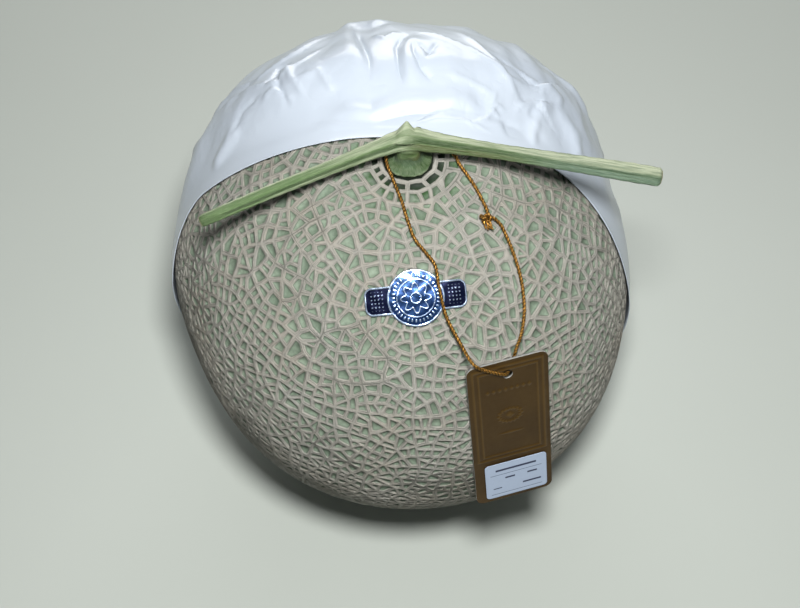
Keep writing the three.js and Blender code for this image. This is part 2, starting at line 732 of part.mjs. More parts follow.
// A raised line of card round a rectangle, `sink` deep into the card's face
function borderGeometry(width, length, corner, shift) {
  const shape = roundedRectangle(width, length, corner);
  const band = TAG_BORDER.width;
  shape.holes.push(roundedRectangle(width - 2 * band, length - 2 * band, Math.max(0.3, corner - band)));
  const sink = TAG.thickness * 0.5;
  return plateGeometry(shape, TAG_BORDER.height + sink).translate(0, shift, TAG.thickness / 2 - sink);
}

// The card, its back face down, in its own frame: +X to the right, +Y to its top, +Z out of its face
function tagGeometry() {
  const card = roundedRectangle(TAG.width, TAG.length, TAG.corner);
  const hole = new THREE.Path();
  hole.absarc(0, TAG.length / 2 - TAG_HOLE.fromTop, TAG_HOLE.radius, 0, 2 * Math.PI, true);
  card.holes.push(hole);
  const body = plateGeometry(card, TAG.thickness).translate(0, 0, -TAG.thickness / 2);
  const outerWidth = TAG.width - 2 * TAG_BORDER.inset;
  const outerLength = TAG_PANEL_LENGTH;
  const shift = TAG.length / 2 - TAG_BORDER.inset - outerLength / 2;
  const inset = TAG_BORDER.width + TAG_BORDER.gap;
  const outer = borderGeometry(outerWidth, outerLength, 1.6, shift);
  const inner = borderGeometry(outerWidth - 2 * inset, outerLength - 2 * inset, 1.0, shift);
  return geometryFromSolid(solidOf(body).add(solidOf(outer)).add(solidOf(inner)));
}

function labelGeometry() {
  const lift = TAG.thickness / 2 + TOUCH_GAP;
  const down = -TAG.length / 2 + LABEL.fromBottom + LABEL.length / 2;
  return plateGeometry(roundedRectangle(LABEL.width, LABEL.length, LABEL.corner), LABEL.thickness)
    .translate(LABEL.shift, down, lift);
}

// The card hangs down the front of the fruit: turned to the right, and leaning back against it
function tagGroup() {
  const turn = degrees(TAG.turn);
  const tilt = degrees(TAG.tilt);
  const level = new THREE.Vector3(Math.cos(turn), Math.sin(turn), 0);
  const up = new THREE.Vector3(-Math.sin(tilt) * Math.sin(turn), Math.sin(tilt) * Math.cos(turn), Math.cos(tilt));
  const out = level.clone().cross(up);
  const group = new THREE.Group();
  group.setRotationFromMatrix(new THREE.Matrix4().makeBasis(level, up, out));
  group.position.set(...TAG_CENTRE);
  group.add(namedMesh("tag", tagGeometry(), COLOURS.card, 0.45, 0.35));
  group.add(namedMesh("tag_label", labelGeometry(), COLOURS.paper, 0.6, 0));
  return group;
}

function cordGeometry() {
  const route = new THREE.CatmullRomCurve3(CORD_ROUTE.map((point) => new THREE.Vector3(...point)));
  const section = new THREE.Shape();
  for (let i = 0; i < CORD_SIDES; i++) {
    const angle = (i / CORD_SIDES) * 2 * Math.PI;
    const [x, y] = [CORD_RADIUS * Math.cos(angle), CORD_RADIUS * Math.sin(angle)];
    if (i) section.lineTo(x, y);
    else section.moveTo(x, y);
  }
  section.closePath();
  return new THREE.ExtrudeGeometry(section, { steps: CORD_STEPS, extrudePath: route, bevelEnabled: false });
}

// The knot: three loops of the cord drawn tight in each other, and its two short tails
function knotGeometry() {
  const loops = KNOT_LOOPS.map(({ turns: [x, y], shift }) =>
    new THREE.TorusGeometry(KNOT_LOOP_RADIUS, CORD_RADIUS, 5, 8)
      .rotateX(degrees(x))
      .rotateY(degrees(y))
      .translate(...shift)
      .translate(...KNOT_CENTRE),
  );
  const tails = KNOT_TAILS.map((tip) => {
    const tail = new THREE.LineCurve3(new THREE.Vector3(...KNOT_CENTRE), new THREE.Vector3(...tip));
    return ribbedTube(tail, 1, 6, () => CORD_RADIUS, 0);
  });
  return geometryFromSolid([...loops, ...tails].map(solidOf).reduce((whole, piece) => whole.add(piece)));
}

const group = new THREE.Group();
group.add(namedMesh("fruit", fruitGeometry(), COLOURS.rind, 0.75, 0));
group.add(namedMesh("stem", stemGeometry(), COLOURS.vine, 0.65, 0));
group.add(namedMesh("film_wrap", filmGeometry(), COLOURS.film, 0.2, 0));
group.add(namedMesh("seal", sealGeometry(), COLOURS.foil, 0.25, 0.8));
group.add(tagGroup());
group.add(namedMesh("cord", cordGeometry(), COLOURS.gold, 0.35, 0.8));
group.add(namedMesh("cord_knot", knotGeometry(), COLOURS.gold, 0.35, 0.8));

export default group;
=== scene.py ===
"""A netted muskmelon with its cut vine stalk, film wrap, foil seal, gold cord, card tag and label.

Lengths are millimetres until a mesh is made, +Z is up, and the front of the fruit faces -Y. A direction
from the fruit's centre is a unit vector, here called a way.
"""
import heapq
import logging
import math
from dataclasses import dataclass, field
from enum import Enum
from typing import Callable, Iterable, Sequence

import bpy
import numpy as np
from numpy import ndarray
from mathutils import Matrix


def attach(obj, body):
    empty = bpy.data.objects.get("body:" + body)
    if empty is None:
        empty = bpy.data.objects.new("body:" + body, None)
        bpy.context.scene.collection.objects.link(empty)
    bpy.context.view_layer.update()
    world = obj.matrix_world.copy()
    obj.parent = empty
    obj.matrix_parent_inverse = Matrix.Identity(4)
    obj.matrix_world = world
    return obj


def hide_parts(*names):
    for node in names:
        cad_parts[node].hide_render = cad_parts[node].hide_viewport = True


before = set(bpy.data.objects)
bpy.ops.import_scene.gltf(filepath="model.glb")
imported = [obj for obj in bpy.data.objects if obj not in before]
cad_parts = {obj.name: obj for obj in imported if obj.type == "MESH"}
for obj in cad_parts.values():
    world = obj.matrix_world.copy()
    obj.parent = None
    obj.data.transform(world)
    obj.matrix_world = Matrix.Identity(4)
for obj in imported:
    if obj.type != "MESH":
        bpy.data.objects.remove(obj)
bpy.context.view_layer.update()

BODY = "root"
MM = 0.001
Way = tuple[float, float, float]
Piece = bpy.types.Object
Socket = bpy.types.NodeSocket
Material = bpy.types.Material
log = logging.getLogger("muskmelon")


def srgb(red: float, green: float, blue: float) -> tuple[float, float, float, float]:
    """A screen colour of 0 to 255 as linear RGBA."""
    linear = [(c / 255 / 12.92) if c < 10.3 else ((c / 255 + 0.055) / 1.055) ** 2.4 for c in (red, green, blue)]
    return (*linear, 1.0)


def unit(vectors: ndarray) -> ndarray:
    """Vectors along the last axis, each divided by its length."""
    return vectors / np.linalg.norm(vectors, axis=-1, keepdims=True)


def ease(share: ndarray | float) -> ndarray:
    """Smooth rise from 0 to 1: 3 x squared less 2 x cubed, held at 0 and 1 outside."""
    x = np.clip(share, 0.0, 1.0)
    return x * x * (3 - 2 * x)


def direction(compass: ndarray | float, height: ndarray | float) -> ndarray:
    """Unit vectors from compass angles round the upright axis and height angles over the level, in degrees."""
    turn, rise = np.radians(compass), np.radians(height)
    level = np.cos(rise)
    return np.stack([level * np.cos(turn), level * np.sin(turn), np.sin(rise) + 0 * turn], axis=-1)


def smooth_line(knots: Sequence[Sequence[float]], count: int) -> ndarray:
    """A centripetal Catmull-Rom curve through the knots, at even steps of its length.

    Each span is blended from its four nearest knots, whose parameter grows by the square root of the
    distance between them.

    Args:
        knots: the points that the curve passes.
        count: how many points to return.

    Returns:
        The points, as (count, 3).
    """
    k = np.asarray(knots, float)
    k = np.vstack([2 * k[0] - k[1], k, 2 * k[-1] - k[-2]])
    t = np.concatenate([[0.0], np.cumsum(np.linalg.norm(np.diff(k, axis=0), axis=1) ** 0.5)])
    t0, t1, t2, t3 = (t[i:len(t) - 3 + i, None, None] for i in range(4))
    p0, p1, p2, p3 = (k[i:len(k) - 3 + i, None, :] for i in range(4))
    x = t1 + (t2 - t1) * np.linspace(0, 1, 25)[None, :, None]
    a1 = (t1 - x) / (t1 - t0) * p0 + (x - t0) / (t1 - t0) * p1
    a2 = (t2 - x) / (t2 - t1) * p1 + (x - t1) / (t2 - t1) * p2
    a3 = (t3 - x) / (t3 - t2) * p2 + (x - t2) / (t3 - t2) * p3
    b1 = (t2 - x) / (t2 - t0) * a1 + (x - t0) / (t2 - t0) * a2
    b2 = (t3 - x) / (t3 - t1) * a2 + (x - t1) / (t3 - t1) * a3
    fine = ((t2 - x) / (t2 - t1) * b1 + (x - t1) / (t2 - t1) * b2).reshape(-1, 3)
    run = np.concatenate([[0.0], np.cumsum(np.linalg.norm(np.diff(fine, axis=0), axis=1))])
    at = np.linspace(0, run[-1], count)
    return np.stack([np.interp(at, run, fine[:, axis]) for axis in range(3)], axis=-1)


def grid_faces(rows: int, columns: int, wrap_rows: bool = False, wrap_columns: bool = False) -> ndarray:
    """The quads of a grid of points numbered row by row, facing rows cross columns.

    Args:
        rows: number of rows.
        columns: number of columns.
        wrap_rows: whether the last row joins the first.
        wrap_columns: whether the last column joins the first.

    Returns:
        Point numbers, as (quads, 4).
    """
    r = np.arange(rows if wrap_rows else rows - 1)[:, None]
    c = np.arange(columns if wrap_columns else columns - 1)[None, :]
    r2, c2 = (r + 1) % rows, (c + 1) % columns
    return np.stack([a.ravel() for a in np.broadcast_arrays(
        r * columns + c, r2 * columns + c, r2 * columns + c2, r * columns + c2)], axis=-1)


def linked(name: str, data: bpy.types.ID) -> Piece:
    """A new object with this data, linked to the scene."""
    made = bpy.data.objects.new(name, data)
    bpy.context.scene.collection.objects.link(made)
    return made


@dataclass
class Surface:
    """Points in millimetres with the faces between them, before they become a mesh."""

    points: ndarray
    faces: list[ndarray]
    values: dict[str, ndarray] = field(default_factory=dict)

    def joined(self, other: "Surface") -> "Surface":
        """This surface and another as one, without welding them."""
        shift = len(self.points)
        return Surface(
            np.vstack([self.points, other.points]),
            self.faces + [f + shift for f in other.faces],
            {name: np.concatenate([value, other.values[name]]) for name, value in self.values.items()},
        )

    def to_object(self, name: str) -> Piece:
        """Make the mesh and its object, in metres, and link it to the scene.

        Args:
            name: the piece's name.

        Returns:
            The new object, at the origin and unturned.
        """
        corners = np.concatenate([f.ravel() for f in self.faces]).astype(np.int32)
        sizes = np.concatenate([np.full(len(f), f.shape[1]) for f in self.faces])
        mesh = bpy.data.meshes.new(name)
        mesh.vertices.add(len(self.points))
        mesh.vertices.foreach_set("co", (self.points * MM).astype(np.float32).ravel())
        mesh.loops.add(len(corners))
        mesh.polygons.add(len(sizes))
        mesh.polygons.foreach_set("loop_start", (np.cumsum(sizes) - sizes).astype(np.int32))
        mesh.polygons.foreach_set("vertices", corners)
        mesh.update(calc_edges=True)
        mesh.shade_smooth()
        self.add_values(mesh)
        return linked(name, mesh)

    def add_values(self, mesh: bpy.types.Mesh) -> None:
        """Store each value as a point attribute: a number, or a vector where it has three columns."""
        for name, value in self.values.items():
            if value.ndim == 1:
                mesh.attributes.new(name, "FLOAT", "POINT").data.foreach_set("value", value.astype(np.float32))
            else:
                stored = mesh.attributes.new(name, "FLOAT_VECTOR", "POINT").data
                stored.foreach_set("vector", value.astype(np.float32).ravel())


def tube(line: ndarray, radii: Callable[[ndarray, ndarray], ndarray], sides: int,
         closed: bool = False) -> Surface:
    """A tube round a line: at each station, a ring whose radius depends on the share along and the angle.

    The frame is carried from station to station with the least turn.

    Args:
        line: the stations, as (n, 3).
        radii: gives radii from shares (n, 1) and angles (1, sides).
        sides: points in each ring.
        closed: whether the line is a loop; otherwise each end is closed by a fan.

    Returns:
        The closed surface, with the values share and angle at its points.
    """
    count = len(line)
    ahead = np.roll(line, -1, axis=0) - np.roll(line, 1, axis=0) if closed else np.gradient(line, axis=0)
    along = unit(ahead)
    side = np.zeros_like(line)
    start = np.cross(along[0], (0.0, 0.0, 1.0) if abs(along[0][2]) < 0.9 else (1.0, 0.0, 0.0))
    side[0] = unit(start)
    for i in range(1, count):
        side[i] = unit(side[i - 1] - along[i] * np.dot(side[i - 1], along[i]))
    up = np.cross(along, side)
    share = np.linspace(0, 1, count, endpoint=not closed)[:, None]
    angle = (np.arange(sides) / sides * 2 * math.pi)[None, :]
    if closed:
        last = side[-1] - along[0] * np.dot(side[-1], along[0])
        slip = math.atan2(np.dot(last, up[0]), np.dot(last, side[0]))
        angle = angle - slip * share
    reach = radii(share, angle)[..., None]
    turned = np.broadcast_to(angle, (count, sides))[..., None]
    points = line[:, None] + reach * (np.cos(turned) * side[:, None] + np.sin(turned) * up[:, None])
    faces = [grid_faces(count, sides, wrap_rows=closed, wrap_columns=True)[:, ::-1]]
    shares = np.broadcast_to(share, (count, sides)).ravel()
    angles = turned[..., 0].ravel()
    points = points.reshape(-1, 3)
    if not closed:
        around = np.arange(sides)
        after = (around + 1) % sides
        first, last_ring = len(points), (count - 1) * sides
        points = np.vstack([points, line[0], line[-1]])
        shares = np.concatenate([shares, [0.0, 1.0]])
        angles = np.concatenate([angles, [0.0, 0.0]])
        faces.append(np.stack([np.full(sides, first), after, around], axis=-1))
        faces.append(np.stack([np.full(sides, first + 1), last_ring + around, last_ring + after], axis=-1))
    return Surface(points, faces, {"share": shares, "angle": angles})


def finish_piece(piece: Piece, node: str, materials: Iterable[Material]) -> None:
    """Dress a piece, let it ride on the body, and let it stand for its CAD node.

    Args:
        piece: the piece.
        node: the CAD node that it replaces.
        materials: its materials, in slot order.
    """
    for material in materials:
        piece.data.materials.append(material)
    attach(piece, BODY)
    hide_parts(node)
    log.info("%s: %d faces, in place of %s", piece.name, len(piece.data.polygons), node)


def add_modifier(piece: Piece, kind: str, **settings: object) -> None:
    """Put a modifier with these settings on a piece."""
    modifier = piece.modifiers.new(kind.lower(), kind)
    for name, value in settings.items():
        setattr(modifier, name, value)


class Board:
    """Places nodes in one node tree and joins them."""

    def __init__(self, tree: bpy.types.NodeTree) -> None:
        """Start on a tree that may already hold nodes."""
        self.tree = tree

    def add(self, kind: str, sockets: dict | None = None, **settings: object) -> bpy.types.Node:
        """Place a node.

        Args:
            kind: the node's type without its ShaderNode prefix.
            sockets: values for its inputs, or outputs to join to them.
            settings: values for its properties.

        Returns:
            The node.
        """
        node = self.tree.nodes.new("ShaderNode" + kind)
        for name, value in settings.items():
            setattr(node, name, value)
        for name, value in (sockets or {}).items():
            self.feed(node.inputs[name], value)
        return node

    def feed(self, socket: Socket, value: object) -> None:
        """Give an input a value, or join an output to it."""
        if isinstance(value, Socket):
            self.tree.links.new(value, socket)
        else:
            socket.default_value = value

    def shade(self, name: str, value: object) -> None:
        """Feed an input of the material's shader."""
        self.feed(self.tree.nodes["Principled BSDF"].inputs[name], value)

    def place(self) -> Socket:
        """The place on the piece, in metres."""
        return self.add("TexCoord").outputs["Object"]

    def value(self, name: str) -> Socket:
        """A point attribute read as a number."""
        return self.add("Attribute", attribute_name=name).outputs["Fac"]

    def math(self, operation: str, *terms: object) -> Socket:
        """One arithmetic step on numbers or outputs."""
        return self.add("Math", dict(enumerate(terms)), operation=operation).outputs[0]

    def times(self, first: object, second: object) -> Socket:
        """The product of two numbers or outputs."""
        return self.math("MULTIPLY", first, second)

    def blend(self, share: object, first: object, second: object) -> Socket:
        """A colour between two."""
        node = self.add("Mix", {0: share, 6: first, 7: second}, data_type="RGBA", clamp_result=True)
        return node.outputs[2]

    def group(self, tree: bpy.types.NodeTree, sockets: dict) -> Socket:
        """Place a node group and return its first output."""
        return self.add("Group", sockets, node_tree=tree).outputs[0]


class Effect(Enum):
    """The effects that several finishes share, each one node group."""

    SPECKLE = "speckle"
    STEP = "step"

    def tree(self) -> bpy.types.NodeTree:
        """The effect's node group, built at its first use."""
        known = bpy.data.node_groups.get(self.value)
        if known:
            return known
        tree = bpy.data.node_groups.new(self.value, "ShaderNodeTree")
        board = Board(tree)
        names = {
            Effect.SPECKLE: ("Vector", "Scale", "Detail", "Low", "High"),
            Effect.STEP: ("Value", "From", "To"),
        }[self]
        for name in names:
            kind = "NodeSocketVector" if name == "Vector" else "NodeSocketFloat"
            tree.interface.new_socket(name, in_out="INPUT", socket_type=kind)
        tree.interface.new_socket("Result", in_out="OUTPUT", socket_type="NodeSocketFloat")
        given = tree.nodes.new("NodeGroupInput").outputs
        result = tree.nodes.new("NodeGroupOutput").inputs[0]
        if self is Effect.SPECKLE:
            noise = board.add("TexNoise", {name: given[name] for name in ("Vector", "Scale", "Detail")})
            mapped = board.add("MapRange", {"Value": noise.outputs["Fac"], "From Min": 0.3, "From Max": 0.7,
                                            "To Min": given["Low"], "To Max": given["High"]})
        else:
            mapped = board.add("MapRange", {"Value": given["Value"], "From Min": given["From"],
                                            "From Max": given["To"]}, interpolation_type="SMOOTHSTEP")
        tree.links.new(mapped.outputs[0], result)
        return tree


@dataclass(frozen=True)
class Finish:
    """What every finish has: its name, and the shader's plain values."""

    name: str
    roughness: float = 0.6
    metallic: float = 0.0
    specular: float = 0.5

    def start(self) -> tuple[Material, Board]:
        """A new material and its board, with the plain values set."""
        material = bpy.data.materials.new(self.name)
        material.use_nodes = True
        board = Board(material.node_tree)
        board.shade("Roughness", self.roughness)
        board.shade("Metallic", self.metallic)
        board.shade("Specular IOR Level", self.specular)
        return material, board

    def speckle(self, board: Board, vector: Socket, scale: float, low: float, high: float,
                detail: float = 3.0) -> Socket:
        """Noise over a vector, between two values."""
        return board.group(Effect.SPECKLE.tree(), {
            "Vector": vector, "Scale": scale, "Detail": detail, "Low": low, "High": high})

    def step(self, board: Board, value: object, start: float, end: float) -> Socket:
        """A smooth step from 0 to 1 between two values."""
        return board.group(Effect.STEP.tree(), {"Value": value, "From": start, "To": end})

    def bump(self, board: Board, height: object, depth: float, strength: float) -> None:
        """Feed the shader a bump of this depth in millimetres."""
        node = board.add("Bump", {"Height": height, "Distance": depth * MM, "Strength": strength})
        board.shade("Normal", node.outputs["Normal"])


@dataclass(frozen=True)
class RindFinish(Finish):
    """Grey-green skin under a dry beige cork net, greener round the stalk.

    Painted shade makes the skin near-black in the dip round the collar, over its own dark green, and darkens
    the skin at the foot of each ridge.
    """

    skin: tuple = srgb(110, 126, 108)
    skin_pale: tuple = srgb(132, 147, 128)
    skin_dark: tuple = srgb(48, 54, 44)
    cork: tuple = srgb(158, 156, 148)
    cork_warm: tuple = srgb(149, 143, 131)
    cork_grey: tuple = srgb(134, 133, 126)
    stalk_green: tuple = srgb(40, 84, 26)
    moat_skin_and_shade: tuple = srgb(14, 26, 12)

    def material(self, stalk_top: ndarray) -> Material:
        """Build the material.

        Args:
            stalk_top: the point on the skin under the stalk, in metres.

        Returns:
            The material.
        """
        material, board = self.start()
        place = board.place()
        net, groove, tone = board.value("net"), board.value("groove"), board.value("tone")
        near = board.add("VectorMath", {0: place, 1: tuple(stalk_top)}, operation="DISTANCE").outputs["Value"]
        round_stalk = board.math("SUBTRACT", 1.0, self.step(board, near, 0.010, 0.024))
        patchy = board.times(round_stalk, self.speckle(board, place, 260, -0.5, 1.2))
        # Painted shade: near-black skin in the dip round the collar, over the skin's own dark green.
        close = board.math("SUBTRACT", 1.0, self.step(board, near, 0.0085, 0.0155))
        skin = board.blend(tone, self.skin, self.skin_pale)
        skin = board.blend(self.speckle(board, place, 900, 0.0, 0.35), skin, self.skin_dark)
        skin = board.blend(patchy, skin, self.stalk_green)
        skin = board.blend(close, skin, self.moat_skin_and_shade)
        cork = board.blend(self.speckle(board, place, 45, 0.0, 1.0), self.cork, self.cork_warm)
        cork = board.blend(self.speckle(board, place, 420, 0.0, 0.8, 6.0), cork, self.cork_grey)
        cork = board.blend(board.times(self.step(board, groove, 0.35, 0.85), 0.62), cork, self.skin_dark)
        sway = self.speckle(board, place, 230, 0.0, 3.0)
        strands = board.math("SINE", board.math("ADD", board.times(board.value("across"), 8.6), sway))
        parted = self.step(board, strands, 0.1, -0.9)
        cork = board.blend(board.times(parted, 0.2), cork, self.skin_dark)
        on_net = self.step(board, net, 0.25, 0.75)
        colour = board.blend(on_net, skin, cork)
        # Painted shade: the skin darkens at the foot of each ridge, where it meets the cell floor.
        foot = board.times(self.step(board, net, 0.02, 0.3), self.step(board, net, 0.75, 0.35))
        colour = board.blend(board.times(foot, 0.42), colour, self.skin_dark)
        board.shade("Base Color", colour)
        dull = board.add("MapRange", {"Value": on_net, "To Min": 0.72, "To Max": 0.88}).outputs[0]
        board.shade("Roughness", dull)
        crumbs = self.speckle(board, place, 1500, 0.0, 1.0, 8.0)
        relief = board.math("ADD", board.times(crumbs, 0.8), board.times(parted, -0.7))
        self.bump(board, board.times(relief, on_net), 0.3, 0.6)
        return material


@dataclass(frozen=True)
class VineFinish(Finish):
    """Green vine with pale hairs in long streaks, dark grooves and dry cut ends.

    The values also paint a highlight over the top of the vine and shade under the left arm.
    """

    green: tuple = srgb(82, 110, 56)
    blue_green: tuple = srgb(88, 112, 92)
    deep: tuple = srgb(42, 68, 24)
    olive: tuple = srgb(74, 84, 42)
    pale: tuple = srgb(162, 169, 143)
    dry: tuple = srgb(150, 146, 112)

    def material(self) -> Material:
        """Build the material from the values grain, cool, deep, olive, pale and cut."""
        material, board = self.start()
        grain = board.add("Attribute", attribute_name="grain").outputs["Vector"]
        streaks = self.speckle(board, grain, 1.6, 0.0, 1.0, 5.0)
        fine = self.speckle(board, grain, 5.0, 0.0, 1.0, 3.0)
        uneven = board.math("ADD", board.times(streaks, 0.7), 0.5)
        colour = board.blend(board.value("cool"), self.green, self.blue_green)
        for name, tint in (("olive", self.olive), ("pale", self.pale), ("deep", self.deep)):
            share = board.value(name) if name == "deep" else board.times(board.value(name), uneven)
            colour = board.blend(share, colour, tint)
        colour = board.blend(board.times(fine, 0.22), colour, self.pale)
        colour = board.blend(board.times(self.step(board, streaks, 0.75, 0.1), 0.3), colour, self.deep)
        colour = board.blend(board.value("cut"), colour, self.dry)
        board.shade("Base Color", colour)
        height = board.math("ADD", board.times(fine, 0.6), streaks)
        self.bump(board, height, 0.35, 0.6)
        return material


@dataclass(frozen=True)
class FilmFinish(Finish):
    """Thin glossy white film with a faint blue cast."""

    white: tuple = srgb(191, 200, 210)
    shade: tuple = srgb(175, 185, 197)

    def material(self) -> Material:
        """Build the material: clouds of tone, and hairline wrinkles in the bump."""
        material, board = self.start()
        place = board.place()
        cloud = self.speckle(board, place, 22, 0.0, 0.6)
        board.shade("Base Color", board.blend(cloud, self.white, self.shade))
        board.shade("Roughness", self.speckle(board, place, 60, 0.32, 0.44))
        board.shade("Coat Weight", 0.4)
        board.shade("Coat Roughness", 0.16)
        wrinkles = self.speckle(board, place, 110, 0.0, 1.0, 2.0)
        creased = board.math("ABSOLUTE", board.math("SUBTRACT", wrinkles, 0.5))
        self.bump(board, board.times(creased, board.value("loose")), 0.5, 0.5)
        return material


@dataclass(frozen=True)
class FoilFinish(Finish):
    """Blue foil with silver lines, darker on the wings, glossy over slight dents."""

    blue: tuple = srgb(16, 46, 94)
    bright_blue: tuple = srgb(46, 84, 130)
    navy: tuple = srgb(7, 17, 52)
    silver: tuple = srgb(160, 176, 196)

    def material(self) -> Material:
        """Build the material: the value silver chooses between the two foils."""
        material, board = self.start()
        place = board.place()
        silver = self.step(board, board.value("silver"), 0.3, 0.7)
        blue = board.blend(self.speckle(board, place, 300, 0.0, 0.6), self.blue, self.bright_blue)
        blue = board.blend(board.value("wing"), blue, self.navy)
        board.shade("Base Color", board.blend(silver, blue, self.silver))
        board.shade("Roughness", self.speckle(board, place, 250, 0.2, 0.3))
        board.shade("Coat Weight", 0.5)
        board.shade("Coat Roughness", 0.12)
        self.bump(board, self.speckle(board, place, 240, 0.0, 1.0), 0.3, 0.2)
        return material


@dataclass(frozen=True)
class CardFinish(Finish):
    """Brown card with a dull gold lustre, and a painted highlight on its raised lines."""

    brown: tuple = srgb(66, 47, 17)
    gold: tuple = srgb(120, 92, 42)

    def material(self) -> Material:
        """Build the material from the value raised."""
        material, board = self.start()
        place = board.place()
        # Painted highlight: the raised lines are blended towards gold.
        lit = board.times(board.value("raised"), 0.3)
        brown = board.blend(self.speckle(board, place, 90, 0.0, 0.14), self.brown, self.gold)
        board.shade("Base Color", board.blend(lit, brown, self.gold))
        board.shade("Roughness", self.speckle(board, place, 700, 0.4, 0.52))
        self.bump(board, self.speckle(board, place, 2500, 0.0, 1.0), 0.05, 0.3)
        return material


@dataclass(frozen=True)
class PaperFinish(Finish):
    """White paper, with dark printed lines where the value ink is 1."""

    white: tuple = srgb(166, 180, 200)
    shade: tuple = srgb(152, 166, 186)
    ink: tuple = srgb(44, 50, 74)

    def material(self, printed: bool) -> Material:
        """Build the material; an unprinted one is the card's cut core."""
        material, board = self.start()
        place = board.place()
        paper = board.blend(self.speckle(board, place, 900, 0.0, 0.2), self.white, self.shade)
        ink = self.step(board, board.value("ink"), 0.35, 0.65) if printed else 0.0
        board.shade("Base Color", board.blend(ink, paper, self.ink))
        self.bump(board, self.speckle(board, place, 2500, 0.0, 1.0), 0.04, 0.3)
        return material


@dataclass(frozen=True)
class GoldThreadFinish(Finish):
    """Twisted metallic thread: bright on the strands, with painted shade in dark orange-brown between them."""

    bright: tuple = srgb(182, 136, 62)
    orange: tuple = srgb(118, 80, 28)
    dark: tuple = srgb(40, 22, 6)

    def material(self) -> Material:
        """Build the material from the values strand and lay, the place along and across the twist."""
        material, board = self.start()
        strand = board.value("strand")
        lay = board.add("Attribute", attribute_name="lay").outputs["Vector"]
        thread = self.speckle(board, lay, 1.0, 0.0, 1.0, 2.0)
        gold = board.blend(thread, self.bright, self.orange)
        # Painted shade: dark orange-brown in the hollows between the strands.
        board.shade("Base Color", board.blend(self.step(board, strand, 0.15, 0.7), self.dark, gold))
        board.shade("Roughness", board.add("MapRange", {
            "Value": thread, "To Min": 0.26, "To Max": 0.5}).outputs[0])
        self.bump(board, thread, 0.12, 0.6)
        return material


@dataclass(frozen=True)
class FloorFinish(Finish):
    """Plain pale studio floor."""

    pale: tuple = srgb(186, 191, 184)
    mottled: tuple = srgb(178, 184, 176)

    def material(self) -> Material:
        """Build the material: one pale tone with very faint mottling."""
        material, board = self.start()
        place = board.place()
        mottle = self.speckle(board, place, 3, 0.0, 0.5)
        board.shade("Base Color", board.blend(mottle, self.pale, self.mottled))
        return material


@dataclass(frozen=True)
class FruitBody:
    """The grown body under the net: a ball with slight swells, a dip round the stalk, a flat resting spot.

    A swell is a compass angle, a height angle and a rise.
    """

    radius: float = 75.0
    flat_spot: float = 15.0
    net_height: float = 1.0
    stalk: tuple = (0.9, -0.9)
    swells: tuple = ((202, -2, -2.3), (311, -13, 2.6), (177, 12, 2.7), (358, 9, -1.3), (271, -20, 0.7))
    swell_sharpness: float = 10.0
    dimple_depth: float = 1.2
    dimple_reach: float = 13.0

    @property
    def centre(self) -> ndarray:
        """The centre: as high as makes the flat spot's circle lie on the floor."""
        return np.array([0.0, 0.0, math.sqrt(self.radius**2 - self.flat_spot**2)])

    def skin_radius(self, ways: ndarray) -> ndarray:
        """Distance from the centre to the skin.

        The radius, plus for each swell its rise times e to the sharpness times (cosine of the angle from it
        less 1), less the dimple's depth times e to minus the square of the distance from the stalk's axis.

        Args:
            ways: unit vectors along the last axis.

        Returns:
            The distances in millimetres.
        """
        out = np.full(ways.shape[:-1], self.radius)
        for compass, height, rise in self.swells:
            out += rise * np.exp(self.swell_sharpness * (ways @ direction(compass, height) - 1))
        from_stalk = self.radius * np.hypot(ways[..., 0], ways[..., 1]) / self.dimple_reach
        return out - np.where(ways[..., 2] > 0, self.dimple_depth * np.exp(-(from_stalk**2)), 0.0)

    def over_skin(self, ways: ndarray, heights: ndarray | float) -> ndarray:
        """Points at heights over the skin along these ways."""
        return ways * (self.skin_radius(ways) + heights)[..., None] + self.centre


def dot(a: Way, b: Way) -> float:
    """Dot product of two ways."""
    return a[0] * b[0] + a[1] * b[1] + a[2] * b[2]


def cross(a: Way, b: Way) -> Way:
    """Cross product of two ways."""
    return (a[1] * b[2] - a[2] * b[1], a[2] * b[0] - a[0] * b[2], a[0] * b[1] - a[1] * b[0])


def add(a: Way, b: Way, share: float = 1.0) -> Way:
    """The first way plus a share of the second."""
    return (a[0] + b[0] * share, a[1] + b[1] * share, a[2] + b[2] * share)


def length(a: Way) -> float:
    """A vector's length."""
    return math.sqrt(dot(a, a))


def normal_of(a: Way) -> Way:
    """A vector at length 1."""
    size = length(a) or 1.0
    return (a[0] / size, a[1] / size, a[2] / size)


def turned(a: Way, axis: Way, angle: float) -> Way:
    """A vector square to an axis, turned about it."""
    return add(tuple(c * math.cos(angle) for c in a), cross(axis, a), math.sin(angle))


def pairs(ring: list) -> zip:
    """Each item with the next one round."""
    return zip(ring, ring[1:] + ring[:1])


def places_in_runs(counts: ndarray) -> ndarray:
    """Each item's place in its run, from 0, for runs of these lengths laid end to end."""
    return np.arange(counts.sum()) - np.repeat(np.cumsum(counts) - counts, counts)


@dataclass(eq=False)
class Cell:
    """One cell of the net: its ring of point numbers, anticlockwise from outside."""

    ring: list[int]
    weight: float = 0.0
    whole: bool = True


@dataclass(frozen=True)
class End:
    """Where a cut meets a cell's ring: at a corner, or a share of the way along a side."""

    at: int
    reach: float
    share: float | None = None


@dataclass(frozen=True)
class Plan:
    """A cut across a cell, with its two ends' places, and how evenly it parts the cell."""

    ends: tuple[End, End]
    points: tuple[Way, Way]
    quality: float


